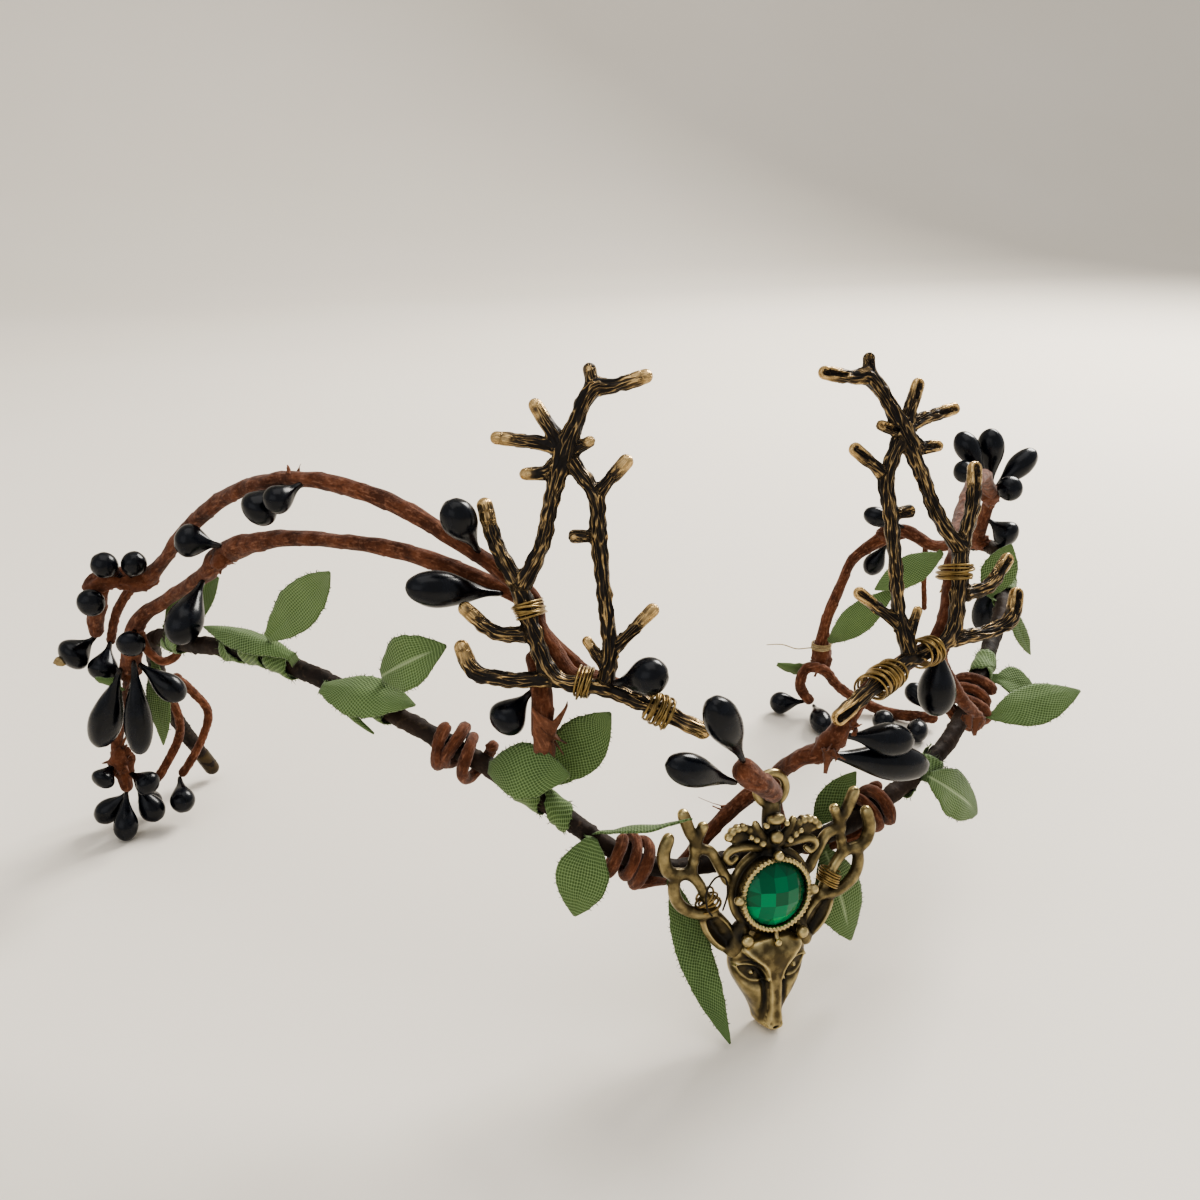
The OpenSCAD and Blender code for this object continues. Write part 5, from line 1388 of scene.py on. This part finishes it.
def deer_frame():
    clay = Clay([-20, 11.5, -1.6], [20, 43.5, 6.8], 0.18)

    def bead(x, y, z, radii, blend=0.1):
        clay.egg((x, y, z), radii if isinstance(radii, tuple) else (radii,) * 3, 0, blend)

    for s in (-1, 1):
        # Ear: a cupped leaf with a rim
        clay.egg((s * 8.4, 17.1, 1.7), (4.6, 2.2, 1.3), s * 54, 0.5)
        clay.egg((s * 8.5, 17.3, 3.0), (3.8, 1.5, 1.5), s * 54, 0.15, hollow=True)
        for blend, rows in FRAME_RODS:
            clay.rod([[s * x, *rest] for x, *rest in rows], blend)
        # Crown: a ribbed fan over a curl, and a small leaf with beads
        for k in range(6):
            a = math.radians(28 + 25 * k)
            tip = [s * (5.6 + 2.3 * math.cos(a)), 31.5 + 2.3 * math.sin(a)]
            clay.rod([[s * 5.4, 31.0, 2.4, 0.45], [*tip, 3.1 - 0.12 * k, 0.62]], 0.14)
            bead(*tip, 3.3, 0.68)
        clay.rod([[s * x, *rest] for x, *rest in CURL], 0.2)
        clay.rod([[s * 0.8, 30.6, 3.0, 0.9], [s * 2.4, 32.4, 3.4, 0.75], [s * 3.2, 34.2, 3.4, 0.5]], 0.2)
        for x, y, r in ((2.3, 31.2, 0.62), (3.3, 31.9, 0.55), (4.2, 32.4, 0.48), (1.7, 33.9, 0.55)):
            bead(s * x, y, 4.1, r)
        clay.rod([[s * 4.4, 17.4, 2.6, 0.5], [s * 4.7, 16.0, 3.7, 0.55]], 0.2)
        bead(s * 4.7, 15.9, 4.2, 1.0, 0.12)
        bead(s * 6.35, STONE_UP, 4.6, 0.8, 0.12)
    clay.rod([[0, 28.4, 2.2, 1.6], [0, 31.4, 2.4, 1.2], [0, 34, 2.4, 1.4], [0, 36.6, 2.4, 1.2]], 0.4)
    bead(0, 31.9, 4.1, (1.15, 1.1, 1.0))
    bead(0, 34.7, 3.9, (1.5, 0.95, 1.0))
    bead(0, 29.2, 5.0, 0.85, 0.12)
    clay.rod([[0, 17.2, 4.2, 0.35], [0, 15.6, 4.9, 0.4]], 0.15)
    bead(0, 15.3, 5.2, 0.62)
    # Bail ring and the cup of the stone with its rope edge
    clay.ring((0, 39, 2.2), 2.45, 0.7, 0.3)
    clay.disc((0, STONE_UP, 0), bezel_d / 2 - 0.5, 0.9, 4.0, 0.3)
    clay.ring((0, STONE_UP, 2.0), bezel_d / 2 - 0.1, 0.7, 0.4)
    clay.disc((0, STONE_UP, 0), stone_d / 2 + 0.22, 2.9, 7, 0.15, hollow=True)
    clay.ring((0, STONE_UP, 4.5), 5.62, 0.42, 0.1, lambda a, b: 0.13 * np.cos(52 * a + 1.4 * b))
    points, faces, stands, _ = clay.mesh(3)
    points[:, 2] += noise(points, 0.9, 3) * 0.02 + noise(points, 0.45, 4) * 0.012
    worn = 0.3 + 2.2 * stands + 0.07 * noise(points, 0.8, 6)
    casting("deer_frame", "deer_pendant", hang(points), faces, CAST, worn)


# Stone cut in squares on its dome, with a pointed back; a mark tells the squares apart, and that mark is
# painted light: neighbouring squares alternate in tone as painted reflection, facets towards the lower left
# are a painted highlight and those at the rim painted shade
def gem():
    r, dome = stone_d / 2 + 0.1, 2.3
    ball = (r * r + dome * dome) / (2 * dome)
    cut, shift = 2.15, (0.45, 0.55)
    points = []
    for i in range(-3, 4):
        for j in range(-3, 4):
            x, y = (i - shift[0]) * cut, (j - shift[1]) * cut
            if math.hypot(x, y) < r * 0.93:
                points.append((x, y, math.sqrt(ball * ball - x * x - y * y) - ball + dome))
    for k in range(24):
        a = math.radians(15 * k)
        points.append((r * math.cos(a), r * math.sin(a), 0.1))
        points.append((r * math.cos(a), r * math.sin(a), -0.3))
    for k in range(8):
        a = math.radians(45 * k + 10)
        points.append((0.5 * r * math.cos(a), 0.5 * r * math.sin(a), -0.8))
    shape = bmesh.new()
    for p in points:
        shape.verts.new(p)
    bmesh.ops.convex_hull(shape, input=shape.verts)
    bmesh.ops.dissolve_limit(shape, angle_limit=math.radians(2), verts=shape.verts, edges=shape.edges)
    heap = Heap()
    for f in shape.faces:
        middle = np.mean([v.co for v in f.verts], axis=0)
        i, j = np.floor(middle[:2] / cut + shift).astype(int)
        # Painted reflection: neighbouring squares a little lighter and darker, then a random tone for each
        # square
        tone = 0.34 + (0.05 if (i + j) % 2 else -0.05)
        tone += 0.14 * noise([i + 0.5, j + 0.5, 0.5], 1.0, 2)
        # Painted highlight on the facets towards the lower left
        tone += 0.3 * ease(0.5 - (middle[0] + 1.3 * middle[1]) / 7)
        # Painted shade on the facets at the rim
        tone -= 0.12 * ease(math.hypot(*middle[:2]) - 3.7)
        corners = np.array([v.co for v in f.verts]) + [0, STONE_UP, 4]
        heap.add(hang(corners), [list(range(len(corners)))], None, tone)
    shape.free()
    heap.make("faceted_stone", GEM, ["stone"], False)


# Pale floor that curves up far behind, soft studio light
def stage():
    rows = [(y, 0) for y in (-5.0, -1.2, -0.4, 0.0, 0.5, 1.0)]
    rows += [(1.0 + 0.8 * math.sin(a), 0.8 - 0.8 * math.cos(a)) for a in np.radians(np.arange(10, 91, 10))]
    rows += [(1.8, 3.0)]
    points = [(x, y, z) for y, z in rows for x in (-3, 3)]
    mesh = bpy.data.meshes.new("floor")
    faces = [[2 * i, 2 * i + 1, 2 * i + 3, 2 * i + 2] for i in range(len(rows) - 1)]
    mesh.from_pydata(points, [], faces)
    mesh.polygons.foreach_set("use_smooth", [True] * len(mesh.polygons))
    look = Look("floor")
    colour = look.mix(look.noise(3, 2), "e9e1d3", "f1eadf")
    normal = look.bump(look.noise(700, 2), 0.05, 0.0003)
    mesh.materials.append(look.finish(Base_Color=colour, Roughness=0.75, Normal=normal))
    floor = bpy.data.objects.new("floor", mesh)
    bpy.context.scene.collection.objects.link(floor)


def lamp(name, at, aim, size, power, colour):
    data = bpy.data.lights.new(name, "AREA")
    data.shape = "RECTANGLE"
    data.size, data.size_y = size
    data.energy = power
    data.color = colour
    thing = bpy.data.objects.new(name, data)
    bpy.context.scene.collection.objects.link(thing)
    thing.location = at
    thing.rotation_mode = "QUATERNION"
    thing.rotation_quaternion = (Vector(aim) - Vector(at)).to_track_quat("-Z", "Y")


def lights():
    lamp("window", (0.8, 0.45, 0.75), (0, 0, 0.04), (0.5, 0.5), 17, (1.0, 0.97, 0.92))
    lamp("fill", (-0.7, -0.6, 0.5), (0, 0, 0.04), (0.9, 0.6), 1.2, (0.95, 0.96, 1.0))
    lamp("over", (0.0, -0.1, 1.1), (0, 0, 0), (0.9, 0.9), 3.2, (1.0, 0.98, 0.95))
    world = bpy.data.worlds.new("studio")
    bpy.context.scene.world = world
    world.use_nodes = True
    sky = world.node_tree.nodes["Background"]
    sky.inputs[0].default_value = (0.95, 0.95, 0.95, 1)
    sky.inputs[1].default_value = 0.58
    bpy.context.scene.view_settings.view_transform = "AgX"
    bpy.context.scene.view_settings.look = "AgX - Medium High Contrast"
    bpy.context.scene.view_settings.exposure = 0.1


vine()
windings()
stems()
for index, row in enumerate(LEAVES):
    leaf(index, row)
berries()
wires()
extras()
antler("bark_antler_left", "antler_left", LEFT_BASE, LEFT_TURN, 1)
antler("bark_antler_right", "antler_right", RIGHT_BASE, RIGHT_TURN, -1)
deer_face()
deer_frame()
gem()
stage()
lights()
